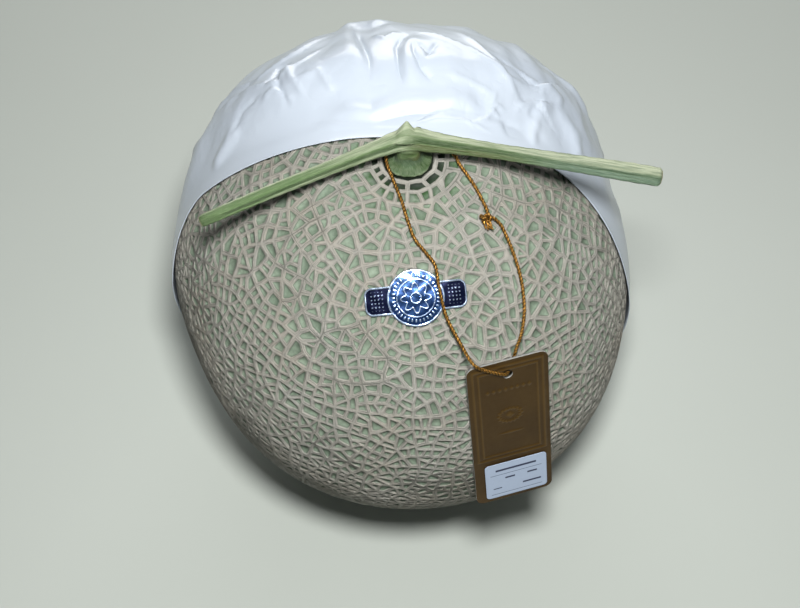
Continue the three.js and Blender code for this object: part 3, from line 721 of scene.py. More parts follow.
@dataclass
class CrackNet:
    """The net's cracks: a ball's skin cut again and again, the largest cell first, across its long way."""

    radius: float
    stalk: tuple
    seed: int = 20
    share_top: float = 1.25
    share_bottom: float = 0.8
    upper_share: float = 0.4
    behind_share: float = 3.2
    cut_tries: int = 4
    cut_slide: float = 0.42
    cut_turn: float = 0.85
    fine_turn: float = 0.4
    snap_share: float = 0.34
    relax_share: float = 0.35
    sectors: int = 12
    rings: tuple = (8.5, 11.7, 15.4)
    scar_radius: float = 7.5
    rows: tuple = (42, 74, 106, 140)
    near_corner: float = 0.3
    least_quality: float = 0.12
    retry_share: float = 0.7
    points: list = field(default_factory=list)
    degree: list = field(default_factory=list)
    cells: list = field(default_factory=list)
    owner: dict = field(default_factory=dict)
    age: dict = field(default_factory=dict)
    heaviest: list = field(default_factory=list)
    fine: bool = False
    count: int = 0
    fixed_points: int = 0

    def random(self) -> float:
        """The next number from 0 to 1: the seed times 1664525 plus 1013904223, in 32 bits."""
        self.seed = (self.seed * 1664525 + 1013904223) & 0xFFFFFFFF
        return self.seed / 4294967296

    def add_point(self, way: Way) -> int:
        """Add a point and return its number."""
        self.points.append(way)
        self.degree.append(2)
        return len(self.points) - 1

    def facing(self, ring: list[int]) -> Way:
        """Half the sum of the sides' cross products: as long as the cell's area, and facing out."""
        total = (0.0, 0.0, 0.0)
        for a, b in pairs(ring):
            total = add(total, cross(self.points[a], self.points[b]))
        return tuple(0.5 * c for c in total)

    def weigh(self, ring: list[int]) -> float:
        """A cell's weight: its area over the share that its place asks for, times a random number.

        While the net is coarse the share grows evenly from the underside to the top. The fine net has
        larger cells round the stalk, and the largest at the back, where the film hides them.
        """
        facing = self.facing(ring)
        area = length(facing)
        up = facing[2] / area
        if not self.fine:
            share = self.share_bottom + (self.share_top - self.share_bottom) * (up + 1) / 2
            return area / share * (0.7 + 0.6 * self.random())
        upper = min(max((up - 0.35) / 0.45, 0.0), 1.0)
        behind = min(max((facing[1] / area - 0.1) / 0.25, 0.0), 1.0)
        share = (1.0 + self.upper_share * upper) * (1.0 + self.behind_share * behind)
        return area / share * (0.6 + 0.8 * self.random())

    def add_cell(self, ring: list[int]) -> Cell:
        """Add a cell with its weight."""
        cell = Cell(ring, self.weigh(ring))
        self.cells.append(cell)
        self.count += 1
        heapq.heappush(self.heaviest, (-cell.weight, len(self.cells), cell))
        self.own(cell)
        return cell

    def own(self, cell: Cell) -> None:
        """Note the cell as the one to the left of each of its sides, and a new side's age as the count."""
        for a, b in pairs(cell.ring):
            self.owner[a, b] = cell
            self.age.setdefault((min(a, b), max(a, b)), self.count)

    def middle(self, ring: list[int]) -> Way:
        """The middle of a cell's area."""
        mean = (0.0, 0.0, 0.0)
        for a in ring:
            mean = add(mean, self.points[a])
        mean = normal_of(mean)
        total = (0.0, 0.0, 0.0)
        for a, b in pairs(ring):
            p, q = self.points[a], self.points[b]
            area = length(cross(add(p, mean, -1), add(q, mean, -1)))
            total = add(total, add(add(p, q), mean), area)
        return normal_of(total)

    def long_way(self, ring: list[int], middle: Way) -> Way:
        """The way of a cell's longest spread, from the second moments of its area."""
        east = normal_of((-middle[1], middle[0], 0.0))
        north = cross(middle, east)
        flat = [(dot(self.points[a], east), dot(self.points[a], north)) for a in ring]
        xx = yy = xy = 0.0
        for (x1, y1), (x2, y2) in pairs(flat):
            turn = x1 * y2 - x2 * y1
            xx += turn * (x1 * x1 + x1 * x2 + x2 * x2)
            yy += turn * (y1 * y1 + y1 * y2 + y2 * y2)
            xy += turn * (x1 * y2 + 2 * x1 * y1 + 2 * x2 * y2 + x2 * y1) * 0.5
        angle = 0.5 * math.atan2(2 * xy, xx - yy)
        return add(tuple(c * math.cos(angle) for c in east), north, math.sin(angle))

    def plan(self, cell: Cell, normal: Way) -> Plan | None:
        """Where the great circle across a normal meets a cell's ring.

        An end near a corner takes that corner, so some lines cross instead of stopping at a side. A plan's
        quality is the smaller part's share of the area, less where an end stops close to a corner.

        Args:
            cell: the cell to cut.
            normal: the cutting plane's normal.

        Returns:
            The plan, or None where the circle doesn't meet the ring at two places.
        """
        ring, count = cell.ring, len(cell.ring)
        side = [dot(self.points[a], normal) for a in ring]
        size = math.sqrt(length(self.facing(ring)))
        ends = []
        for i in range(count):
            after = (i + 1) % count
            if (side[i] < 0) == (side[after] < 0):
                continue
            share = side[i] / (side[i] - side[after])
            span = length(add(self.points[ring[i]], self.points[ring[after]], -1))
            near = i if share < 0.5 else after
            reach = min(share, 1 - share) * span
            if reach < self.snap_share * size and self.degree[ring[near]] < 4:
                ends.append(End(near, reach))
            else:
                ends.append(End(i, reach, share))
        if len(ends) != 2 or (ends[0].share is None and ends[1].share is None and ends[0].at == ends[1].at):
            return None
        p, q = (self.meeting(ring, end) for end in ends)
        half, start = (0.0, 0.0, 0.0), p
        for a in ring[ends[0].at + 1:ends[1].at + 1]:
            half = add(half, cross(start, self.points[a]))
            start = self.points[a]
        half = add(add(half, cross(start, q)), cross(q, p))
        part = length(half) * 0.5 / (size * size)
        quality = min(part, 1 - part)
        for end in ends:
            if end.share is not None:
                quality -= 0.3 * max(0.0, self.near_corner - end.reach / size)
        return Plan(tuple(ends), (p, q), quality)

    def meeting(self, ring: list[int], end: End) -> Way:
        """The place of a cut's end on a ring."""
        a = self.points[ring[end.at]]
        if end.share is None:
            return a
        b = self.points[ring[(end.at + 1) % len(ring)]]
        return normal_of(add(a, add(b, a, -1), end.share))

    def split(self, cell: Cell, plan: Plan) -> tuple[Cell, Cell]:
        """Cut a cell in two along a plan.

        Args:
            cell: the cell.
            plan: the cut.

        Returns:
            The two new cells.
        """
        ring = cell.ring
        numbers = []
        for end, point in zip(plan.ends, plan.points):
            if end.share is None:
                numbers.append(ring[end.at])
                continue
            a, b = ring[end.at], ring[(end.at + 1) % len(ring)]
            added = self.add_point(point)
            for old in (a, b):
                self.age[old, added] = self.age[min(a, b), max(a, b)]
            beyond = self.owner[b, a]
            beyond.ring.insert(beyond.ring.index(b) + 1, added)
            self.own(beyond)
            numbers.append(added)
        for number in numbers:
            self.degree[number] += 1
        first, second = plan.ends
        start = first.at + 1
        stop = second.at if second.share is None else second.at + 1
        rest = first.at if first.share is None else first.at + 1
        one = [numbers[0], *ring[start:stop], numbers[1]]
        two = [numbers[1], *ring[second.at + 1:], *ring[:rest], numbers[0]]
        cell.whole = False
        self.count -= 1
        return self.add_cell(one), self.add_cell(two)

    def split_heaviest(self) -> None:
        """Cut the heaviest cell across its long way, by the best of a few tries, or let it wait."""
        while True:
            weight, _, cell = heapq.heappop(self.heaviest)
            if cell.whole and cell.weight == -weight:
                break
        middle = self.middle(cell.ring)
        along = self.long_way(cell.ring, middle)
        size = math.sqrt(length(self.facing(cell.ring)))
        best = None
        for _ in range(self.cut_tries):
            slide = (self.random() - 0.5) * self.cut_slide * size
            turn = (self.random() - 0.5) * (self.fine_turn if self.fine else self.cut_turn)
            through = normal_of(add(middle, along, slide))
            normal = turned(along, middle, turn)
            normal = normal_of(add(normal, through, -dot(normal, through)))
            plan = self.plan(cell, normal)
            if plan and (best is None or plan.quality > best.quality):
                best = plan
        if best and best.quality > self.least_quality:
            self.split(cell, best)
        else:
            cell.weight *= self.retry_share
            heapq.heappush(self.heaviest, (-cell.weight, len(self.cells) + self.seed, cell))

    def relax(self, share: float) -> None:
        """Pull each corner a share of the way to its neighbours' mean, which bends the straight lines."""
        links = [set() for _ in self.points]
        for cell in self.whole_cells():
            for a, b in pairs(cell.ring):
                links[a].add(b)
                links[b].add(a)
        moved = []
        for number, point in enumerate(self.points):
            mean = (0.0, 0.0, 0.0)
            for other in links[number]:
                mean = add(mean, self.points[other], 1 / len(links[number]))
            free = number >= self.fixed_points
            moved.append(normal_of(add(point, add(mean, point, -1), share)) if free else point)
        self.points = moved

    def whole_cells(self) -> list[Cell]:
        """The cells that haven't been cut."""
        return [cell for cell in self.cells if cell.whole]

    def ring_of(self, reach: float, count: int, centre: tuple[float, float], side: int) -> list[int]:
        """Points in an uneven ring round an upright axis, on the top (1) or the underside (-1)."""
        numbers = []
        for i in range(count):
            compass = (i + 0.3 * (self.random() - 0.5)) / count * 2 * math.pi
            out = reach * (1 + 0.06 * (self.random() - 0.5))
            x, y = centre[0] + out * math.cos(compass), centre[1] + out * math.sin(compass)
            numbers.append(self.add_point(normal_of((x, y, side * math.sqrt(self.radius**2 - x * x - y * y)))))
        return numbers

    def start(self) -> None:
        """Lay rings of net round the stalk, and long cells from there to the blossom scar, cut in rows."""
        n = self.sectors
        seat = self.ring_of(self.rings[0], n, self.stalk, 1)
        inner = self.ring_of(self.rings[1], 2 * n, self.stalk, 1)
        outer = self.ring_of(self.rings[2], 2 * n, self.stalk, 1)
        self.fixed_points = len(self.points)
        scar = self.ring_of(self.scar_radius, n, (0.0, 0.0), -1)
        for whole in (self.add_cell(list(seat)), self.add_cell(scar[::-1])):
            whole.weight = 0.0
        long_cells = []
        for i in range(n):
            j, even, odd = (i + 1) % n, 2 * i, 2 * i + 1
            before = (even - 1) % (2 * n)
            self.add_cell([seat[j], seat[i], inner[even], inner[odd], inner[2 * j]])
            self.add_cell([inner[odd], inner[even], inner[before], outer[before], outer[even], outer[odd]])
            long_cells.append(self.add_cell([outer[2 * j], outer[odd], outer[even], scar[i], scar[j]]))
        for number in (*seat, *inner, *outer, *scar):
            self.degree[number] = 3
        for rest in long_cells:
            for row in self.rows:
                middle = self.middle(rest.ring)
                compass = math.atan2(middle[1], middle[0])
                angle = math.radians(row + 16 * (self.random() - 0.5))
                lean = 0.35 * (self.random() - 0.5)
                sine, cosine = math.sin(angle), math.cos(angle)
                through = (sine * math.cos(compass), sine * math.sin(compass), cosine)
                normal = (cosine * math.cos(compass), cosine * math.sin(compass), -sine)
                plan = self.plan(rest, turned(normal, through, lean))
                if plan:
                    halves = self.split(rest, plan)
                    rest = min(halves, key=lambda half: self.middle(half.ring)[2])

    def grow(self, coarse: int, fine: int) -> None:
        """Cut to the coarse number of cells, let the lines bend, and cut on to the fine number.

        Args:
            coarse: the number of cells in the CAD model's net.
            fine: the number of cells at the end.
        """
        self.start()
        while self.count < coarse:
            self.split_heaviest()
        self.relax(self.relax_share)
        self.relax(self.relax_share)
        self.fine = True
        self.heaviest = []
        for number, cell in enumerate(self.whole_cells()):
            if cell.weight > 0:
                cell.weight = self.weigh(cell.ring)
                heapq.heappush(self.heaviest, (-cell.weight, number, cell))
        while self.count < fine:
            self.split_heaviest()
        self.relax(self.relax_share * 0.6)


@dataclass
class NettedRind:
    """The fruit's skin with its raised net: crests on the net's lines, and a floor in each cell."""

    body: FruitBody
    coarse_cells: int = 970
    fine_cells: int = 4250
    half_width_top: float = 0.98
    half_width_low: float = 0.84
    rings_above: float = 0.973
    seat_above: float = 0.999
    slope: tuple = ((0.45, 0.98, 1.0), (0.84, 0.64, 0.7), (1.12, 0.1, 0.12))
    width_fade: float = 0.3
    width_share: float = 0.5
    segment: float = 2.6
    wobble: float = 0.16
    seed: int = 7

    def doubled(self, ways: ndarray) -> ndarray:
        """How far the ridges at these ways are parted in two, from 0 to 1: six slow waves over the skin."""
        rng = np.random.default_rng(self.seed + 2)
        total = np.zeros(len(ways))
        for _ in range(6):
            wave = unit(rng.normal(size=3)) * rng.uniform(9, 16)
            total += np.sin(ways @ wave + rng.uniform(0, 6))
        return ease((total + 0.6) / 2.6)

    def lines(self, net: CrackNet) -> dict[str, ndarray]:
        """Cut the net's lines into short spans that bend slightly.

        A bend point lies on its line's share, moved sideways by a bow common to the line and a little of
        its own.

        Args:
            net: the grown net.

        Returns:
            ways: all crest points; vertex, cell and line: for each step round each cell, its crest point,
            its cell and its line; wide and split: per line, the width factor and the depth of its groove.
        """
        rng = np.random.default_rng(self.seed)
        rings = [cell.ring for cell in net.whole_cells()]
        sides = np.array([pair for ring in rings for pair in pairs(ring)])
        cell_of_side = np.repeat(np.arange(len(rings)), [len(ring) for ring in rings])
        lines, line_of_side = np.unique(np.sort(sides, axis=1), axis=0, return_inverse=True)
        line_of_side = line_of_side.ravel()
        age = np.array([net.age[tuple(line)] for line in lines.tolist()])
        wide = (np.maximum(age, 250) / self.coarse_cells) ** -self.width_fade
        corners = np.array(net.points)
        a, b = corners[lines[:, 0]], corners[lines[:, 1]]
        span = self.body.radius * np.linalg.norm(b - a, axis=1)
        bends = np.clip(np.round(span / self.segment).astype(int) - 1, 0, 3)
        line_of_bend = np.repeat(np.arange(len(lines)), bends)
        first_bend = len(corners) + np.cumsum(bends) - bends
        number = places_in_runs(bends)
        share = ((number + 1) / (bends[line_of_bend] + 1))[:, None]
        p, q = a[line_of_bend], b[line_of_bend]
        across = unit(np.cross(p + q, q - p))
        bow = rng.normal(0, 0.55, len(lines))[line_of_bend] * np.sin(math.pi * share[:, 0])
        own = rng.normal(0, 1.0, len(line_of_bend))
        aside = self.wobble * (bow + 0.6 * own) * np.minimum(1, span[line_of_bend] / 4) / self.body.radius
        middle_ways = unit(p + (q - p) * share + across * aside[:, None])
        steps = bends[line_of_side] + 1
        side_of_step = np.repeat(np.arange(len(sides)), steps)
        k = places_in_runs(steps)
        line = line_of_side[side_of_step]
        forward = sides[side_of_step, 0] == lines[line, 0]
        bend = first_bend[line] + np.where(forward, k - 1, bends[line] - k)
        return {
            "ways": np.vstack([corners, middle_ways]),
            "vertex": np.where(k == 0, sides[side_of_step, 0], bend),
            "cell": cell_of_side[side_of_step],
            "line": line,
            "wide": wide * rng.uniform(0.88, 1.12, len(lines)),
            "split": self.doubled(a) * np.clip(wide * rng.uniform(0.5, 1.2, len(lines)), 0, 1),
        }

    def surface(self, net: CrackNet) -> Surface:
        """Build the skin.

        In each cell's own flat map, the floor's edge in a direction is the nearest of its sides, each moved
        in by the half width, divided by the cosine of the angle to it. Three rings follow that rule: a flat
        shoulder, the slope, and the foot. Each has its share of the width, its height and its value of net.
        The floor rises or sinks a little to its middle.

        Args:
            net: the grown net.

        Returns:
            The surface with the values net, groove, tone and across, the millimetres from a crest.
        """
        parts = self.lines(net)
        ways, vertex, cell, line = (parts[name] for name in ("ways", "vertex", "cell", "line"))
        count = np.bincount(cell)
        cells, most = len(count), count.max()
        place = places_in_runs(count)
        inside = np.zeros((cells, most), bool)
        inside[cell, place] = True
        ring = np.zeros((cells, most), int)
        ring[cell, place] = vertex
        line_at = np.zeros((cells, most), int)
        line_at[cell, place] = line
        step = np.arange(most)[None]
        after = np.where(step + 1 < count[:, None], step + 1, 0)
        before = np.where(step > 0, step - 1, count[:, None] - 1)
        rows = np.arange(cells)[:, None]
        at = ways[ring]
        mean = unit((at * inside[..., None]).sum(axis=1))
        east = unit(np.stack([-mean[:, 1], mean[:, 0], np.full(cells, 1e-9)], axis=-1))
        north = np.cross(mean, east)
        radius = self.body.radius
        flat = radius * np.stack([(at * east[:, None]).sum(-1), (at * north[:, None]).sum(-1)], axis=-1)
        beyond = flat[rows, after]
        turn = np.where(inside, flat[..., 0] * beyond[..., 1] - flat[..., 1] * beyond[..., 0], 0.0)
        centroid = ((flat + beyond) * turn[..., None]).sum(axis=1) / (3 * turn.sum(axis=1))[:, None]
        flat, beyond = flat - centroid[:, None], beyond - centroid[:, None]
        run = beyond - flat
        normal = unit(np.stack([run[..., 1], -run[..., 0]], axis=-1) + 1e-12)
        away = np.where(inside, (flat * normal).sum(-1), np.inf)
        up = (mean[:, 2] + 1) / 2
        wide = self.half_width_low + (self.half_width_top - self.half_width_low) * ease((up - 0.5) / 0.45)
        wide = np.where(mean[:, 2] > self.rings_above, 0.5 * self.half_width_top, wide)
        wide = np.where(mean[:, 2] > self.seat_above, 0.25 * self.half_width_top, wide)
        width = wide[:, None] * parts["wide"][line_at]
        width = np.minimum(width, self.width_share * np.maximum(away.min(axis=1), 0.2)[:, None])
        reach = np.linalg.norm(flat, axis=-1)
        bend = 1 + (normal * normal[rows, before]).sum(-1)
        inward = (normal + normal[rows, before]) / np.maximum(bend, 0.3)[..., None]
        mean_width = (width + width[rows, before]) / 2
        inward *= mean_width[..., None]
        angle = np.arctan2(flat[..., 1], flat[..., 0])
        rng = np.random.default_rng(self.seed + 1)
        hollow = rng.uniform(-0.12, 0.1, cells)
        deep = np.where(mean[:, 2] > 0.9, 0.0, hollow)
        groove = np.bincount(vertex, parts["split"][line]) / np.bincount(vertex)
        rough = rng.normal(0, 0.05, len(ways))
        crest_height = self.body.net_height - 0.42 * groove + rough
        points = [self.body.over_skin(ways, crest_height)]
        values = {"net": [np.full(len(ways), 1.0)], "groove": [groove], "tone": [np.full(len(ways), 0.5)],
                  "across": [np.zeros(len(ways))]}
        numbers = [ring]
        tone = rng.random(cells)
        for share, height, mask in self.slope:
            corner = flat - share * inward
            still_out = (corner * flat).sum(-1, keepdims=True) > 0.1 * reach[..., None] ** 2
            corner = np.where(still_out, corner, flat)
            shift = np.arctan2(corner[..., 1], corner[..., 0]) - angle
            shift = (shift + math.pi) % (2 * math.pi) - math.pi
            run_round = (angle - angle[:, :1]) % (2 * math.pi) + shift
            run_round = np.maximum.accumulate(np.where(inside, run_round, -1.0), axis=1)
            to = np.stack([np.cos(run_round + angle[:, :1]), np.sin(run_round + angle[:, :1])], axis=-1)
            cosine = np.einsum("ckx,cex->cke", to, normal)
            side_in = (away - share * width)[:, None]
            allowed = np.where(cosine > 0.12, side_in / np.maximum(cosine, 0.12), np.inf)
            inner = np.minimum(allowed.min(axis=2), reach * (1 - 0.1 * share))
            inner = np.maximum(inner, reach * 0.08)
            offset = to * inner[..., None] + centroid[:, None]
            out = self.lifted(offset, mean, east, north)
            rise = np.maximum(crest_height[ring], 0.9) * height if height > 0.9 else height
            points.append(self.body.over_skin(out, rise)[inside])
            start = sum(len(p) for p in points[:-1])
            index = np.full((cells, most), -1)
            index[inside] = start + np.arange(len(cell))
            numbers.append(index)
            values["net"].append(np.full(len(cell), mask))
            values["groove"].append(np.zeros(len(cell)))
            values["across"].append(share * mean_width[inside])
            values["tone"].append(tone[cell])
        middle_way = self.lifted(centroid[:, None], mean, east, north)[:, 0]
        middles = sum(len(p) for p in points) + np.arange(cells)
        points.append(self.body.over_skin(middle_way, 0.14 + deep))
        for name, value in (("net", 0.0), ("groove", 0.0), ("across", 1.0)):
            values[name].append(np.full(cells, value))
        values["tone"].append(tone)
        faces = []
        for outer, inner in zip(numbers, numbers[1:]):
            quads = np.stack([outer, outer[rows, after], inner[rows, after], inner], axis=-1)
            faces.append(quads[inside])
        inner = numbers[-1]
        fan = np.stack([inner, inner[rows, after], np.broadcast_to(middles[:, None], ring.shape)], axis=-1)
        faces.append(fan[inside])
        all_points = np.vstack(points)
        all_points[:, 2] = np.maximum(all_points[:, 2], 0.0)
        return Surface(all_points, faces, {name: np.concatenate(value) for name, value in values.items()})

    def lifted(self, flat: ndarray, mean: ndarray, east: ndarray, north: ndarray) -> ndarray:
        """Ways from places in the cells' flat maps."""
        flat = flat / self.body.radius
        height = np.sqrt(np.maximum(1 - (flat**2).sum(-1), 0.0))
        level = flat[..., :1] * east[:, None] + flat[..., 1:] * north[:, None]
        return level + height[..., None] * mean[:, None]

    def build(self) -> None:
        """Grow the net, build the skin and dress it."""
        net = CrackNet(self.body.radius, self.body.stalk)
        net.grow(self.coarse_cells, self.fine_cells)
        made = self.surface(net)
        triangles = sum(len(f) * (f.shape[1] - 2) for f in made.faces)
        log.info("net: %d cells, %d triangles", net.count, triangles)
        piece = made.to_object("netted_rind")
        stalk = self.body.over_skin(np.array([0.0, 0.0, 1.0]), np.array(0.0)) + (*self.body.stalk, 0.0)
        finish = RindFinish("rind", specular=0.35)
        finish_piece(piece, "fruit", [finish.material(stalk * MM)])


@dataclass
class VineStem:
    """The stalk with its collar, the node with two stubs, and the cut vine across it, grown as one piece.

    Knots are counted from the fruit's centre. Girth is the radius at shares of the vine's length.
    """

    body: FruitBody
    node: tuple = (0.7, -0.6, 83.4)
    collar_radius: float = 7.1
    collar_height: float = 1.7
    gap: float = 0.42
    voxel: float = 0.33
    vine_length: float = 137.0
    knots: tuple = (
        (-59.7, -21.5, 72.0), (-41.0, -14.9, 76.3), (-21.2, -8.0, 80.4), (-8.0, -3.2, 82.6), node,
        (10.0, -1.6, 83.0), (30.5, -4.6, 82.2), (53.0, -8.2, 81.2), (74.0, -11.5, 80.0),
    )
    girth: tuple = (
        (0, 1.8), (0.12, 1.95), (0.3, 2.05), (0.4, 2.5), (0.46, 3.3), (0.5, 3.2), (0.56, 2.6), (0.66, 2.2),
        (0.82, 2.45), (0.94, 2.75), (1, 2.65),
    )

    @property
    def vine_line(self) -> ndarray:
        """The vine's centreline."""
        return smooth_line(np.array(self.knots) + self.body.centre, 300)

    def vine(self) -> Surface:
        """The vine: its girth between stations, times 1 plus five ribs and fine lines, less at its cut ends."""
        shares, radii = np.array(self.girth).T

        def reach(share: ndarray, angle: ndarray) -> ndarray:
            ribs = 0.085 * np.cos(5 * angle - 0.44) + 0.03 * np.cos(13 * angle)
            ribs = ribs + 0.02 * np.sin(186 * share + angle)
            tip = 1 - 0.35 * (1 - ease(np.minimum(share, 1 - share) / 0.006))
            return np.interp(share, shares, radii) * (1 + ribs) * tip

        return tube(self.vine_line, reach, 60)

    def stub(self, root: tuple, tip: tuple, radius: float, taper: float) -> Surface:
        """A short leaning stub from the node that narrows evenly by a share of its radius."""
        line = self.node + self.body.centre + np.linspace(np.array(root, float), np.array(tip, float), 12)

        def reach(share: ndarray, angle: ndarray) -> ndarray:
            return radius * (1 - taper * share) * (1 + 0.06 * np.cos(3 * angle))

        return tube(line, reach, 24)

    def stalk_body(self) -> Surface:
        """The collar seated over the skin, a ribbed waist, and its flare into the node.

        Each row of the profile has a share of the collar's radius, a height and the depth of the ribs.
        """
        x, y = self.body.stalk
        seat = self.body.over_skin(np.array([[0.0, 0.0, 1.0]]), 0.0)[0, 2] + self.gap
        top = self.body.centre[2] + 82.6
        waist, stations = self.collar_height, 60
        rows = np.array([
            (0.5, 0.0, 0.0), (0.9, 0.05, 0.0), (1.0, 0.6, 0.02), (0.985, 1.2, 0.035), (0.87, waist, 0.05),
            (0.72, waist + 0.45, 0.08), (0.62, waist + 1.5, 0.09), (0.58, waist + 3.2, 0.09),
            (0.57, top - seat - 2.4, 0.08), (0.5, top - seat, 0.04),
        ])
        at = np.interp(np.linspace(0, 1, stations), np.linspace(0, 1, len(rows)), np.arange(len(rows)))
        radius, height, rib = (np.interp(at, np.arange(len(rows)), rows[:, i]) for i in range(3))
        line = np.stack([np.full(stations, x), np.full(stations, y), seat + height], axis=-1)
        line[:, 2] += np.linspace(0, 1e-3, stations)

        def reach(share: ndarray, angle: ndarray) -> ndarray:
            ribs = 1 + rib[:, None] * np.cos(5 * angle) + 0.012 * np.cos(17 * angle)
            return self.collar_radius * radius[:, None] * ribs

        return tube(line, reach, 90)

    def grown_together(self) -> Piece:
        """Join the parts by a fine remesh, so that they blend where they meet."""
        parts = self.vine().joined(self.stalk_body())
        parts = parts.joined(self.stub((-0.7, 0.2, 0.2), (-0.3, 3.1, 5.1), 4.7, 0.93))
        parts = parts.joined(self.stub((2.2, 0.6, 0.2), (3.5, 2.3, 2.6), 2.7, 0.55))
        rough = parts.to_object("stem_parts")
        add_modifier(rough, "REMESH", mode="VOXEL", voxel_size=self.voxel * MM, use_smooth_shade=True)
        add_modifier(rough, "SMOOTH", factor=0.5, iterations=2)
        graph = bpy.context.evaluated_depsgraph_get()
        mesh = bpy.data.meshes.new_from_object(rough.evaluated_get(graph))
        bpy.data.objects.remove(rough)
        mesh.name = "vine_stem"
        mesh.shade_smooth()
        return linked("vine_stem", mesh)

    def values(self, points: ndarray) -> dict[str, ndarray]:
        """Where each point lies along and round the vine, and what that means for its colour.

        Angles round the vine count from the front, up over the top. The right arm is pale over the top, a
        painted highlight over its pale hairs, deep green below that and olive underneath, and blue-green
        towards its tip. The left arm is pale over the top, the same painted highlight, with a deep line
        along its front, a pale strip below that, deep green underneath as painted shade, and deep green at
        its tip. The collar is deep green inside a thin pale rim.

        Args:
            points: the stem's points in millimetres.

        Returns:
            grain: a place on an unrolled vine, stretched along it; cool, deep, olive, pale and cut: the
            shares of those colours.
        """
        line = self.vine_line
        near = np.argmin(((points[:, None] - line[None, ::4]) ** 2).sum(-1), axis=1) * 4
        along = unit(np.gradient(line, axis=0))[near]
        off = points - line[near]
        beyond = (off * along).sum(-1)
        off -= along * beyond[:, None]
        side = unit(np.cross(along, (0.0, 0.0, 1.0)))
        turn = np.degrees(np.arctan2((off * np.cross(side, along)).sum(-1), (off * side).sum(-1)))
        share = near / (len(line) - 1) + beyond / self.vine_length
        x, y = (points[:, axis] - self.body.stalk[axis] for axis in range(2))
        out = np.hypot(x, y) / self.collar_radius
        stalk = (points[:, 2] < self.body.centre[2] + 79.4 - 0.14 * np.abs(points[:, 0])) & (out < 1.1)
        angle = np.where(stalk, np.arctan2(y, x), np.radians(turn))
        height = np.where(stalk, points[:, 2] * 0.25, share * 12)
        right, tip = ease((share - 0.44) / 0.06), ease((share - 0.6) / 0.22)
        left = 1 - right

        def band(middle: float, half: float, soft: float) -> ndarray:
            return ease((half + soft - np.abs(turn - middle)) / soft)

        # Painted highlight: pale over the top of each arm, over its pale hairs.
        pale = right * ease((turn - 66 + 16 * tip) / 18) * (0.85 + 0.15 * tip)
        pale += left * (0.9 * band(132, 6, 14) + 0.5 * band(8, 14, 16) * ease((share - 0.1) / 0.1))
        pale += 0.6 * left * ease((share - 0.2) / 0.2) * band(95, 24, 20)
        deep = right * (1 - 0.6 * tip) * band(55, 10, 14) + left * band(34, 8, 8) * ease((share - 0.02) / 0.06)
        # Painted shade: deep green along the left arm's underside; the deep green at its tip is its own colour.
        deep += 0.5 * left * band(-30, 16, 16) + 0.45 * ease((0.05 - share) / 0.045)
        ends = np.minimum(share, 1 - share)
        on_collar = {
            "cool": 0.8 - 0.3 * ease((out - 0.6) / 0.2),
            "deep": 0.45 + 0.5 * ease((out - 0.6) / 0.2) * ease((0.97 - out) / 0.05),
            "pale": 0.6 * ease((out - 0.96) / 0.03),
        }
        on_vine = {
            "cool": np.maximum(tip, 0.15 * left),
            "deep": deep,
            "olive": right * (1 - tip) * ease((42 - turn) / 14),
            "pale": np.maximum(pale, 0.55 * ease((0.035 - np.abs(share - 0.455)) / 0.02) * (turn > 30)),
            "cut": ease((0.004 - ends) / 0.004),
        }
        made = {name: np.clip(np.where(stalk, on_collar.get(name, 0.0), value), 0, 1)
                for name, value in on_vine.items()}
        return {"grain": np.stack([3 * np.cos(angle), 3 * np.sin(angle), height], axis=-1), **made}

    def build(self) -> None:
        """Grow the stem as one piece and dress it."""
        piece = self.grown_together()
        points = np.empty(len(piece.data.vertices) * 3, np.float32)
        piece.data.vertices.foreach_get("co", points)
        Surface(np.empty((0, 3)), [], self.values(points.reshape(-1, 3) / MM)).add_values(piece.data)
        finish_piece(piece, "stem", [VineFinish("vine", roughness=0.62, specular=0.4).material()])


class FoldShape(Enum):
    """The section of a fold in the film."""

    RIDGE = "sharp crest"
    VALLEY = "sharp crease"
    STEP = "one side raised"
    SWELL = "soft crest"

    def height(self, across: ndarray) -> ndarray:
        """The fold's height at a distance across it, counted in widths.

        Ridge: e to minus the distance. Valley: the same, downwards. Step: the signed distance times e to
        minus 0.55 of the distance. Swell: e to minus the distance squared.
        """
        far = np.abs(across)
        return {
            FoldShape.RIDGE: np.exp(-far),
            FoldShape.VALLEY: -np.exp(-far),
            FoldShape.STEP: across * np.exp(-0.55 * far),
            FoldShape.SWELL: np.exp(-(across**2)),
        }[self]


@dataclass(frozen=True)
class Fold:
    """One fold: its course as compass and height angles, its shape, its width and its height."""

    shape: FoldShape
    width: float
    height: float
    course: tuple

    def lift(self, places: ndarray, onto: Callable[[ndarray], ndarray]) -> ndarray:
        """The height that the fold adds at places on the film's flat map.

        The nearest stretch of the course gives the signed distance across and the run along. The height
        fades over a quarter of the length at each end.

        Args:
            places: the places, in millimetres.
            onto: lays ways on the flat map.

        Returns:
            The heights in millimetres.
        """
        course = onto(direction(*np.array(self.course, float).T))
        starts, steps = course[:-1], np.diff(course, axis=0)
        sizes = np.linalg.norm(steps, axis=1)
        run = np.concatenate([[0.0], np.cumsum(sizes)])
        best = np.full(places.shape[:-1], np.inf)
        across, along = np.zeros_like(best), np.zeros_like(best)
        for start, step, size, before in zip(starts, steps, sizes, run):
            off = places - start
            share = np.clip((off @ step) / size**2, 0, 1)
            gap = np.linalg.norm(off - share[..., None] * step, axis=-1)
            side = np.sign(off[..., 0] * step[1] - off[..., 1] * step[0])
            nearer = gap < best
            best = np.where(nearer, gap, best)
            across = np.where(nearer, gap * side, across)
            along = np.where(nearer, before + share * size, along)
        fade = ease(along / (0.25 * run[-1])) * ease((run[-1] - along) / (0.25 * run[-1]))
        return self.height * fade * self.shape.height(across / self.width)


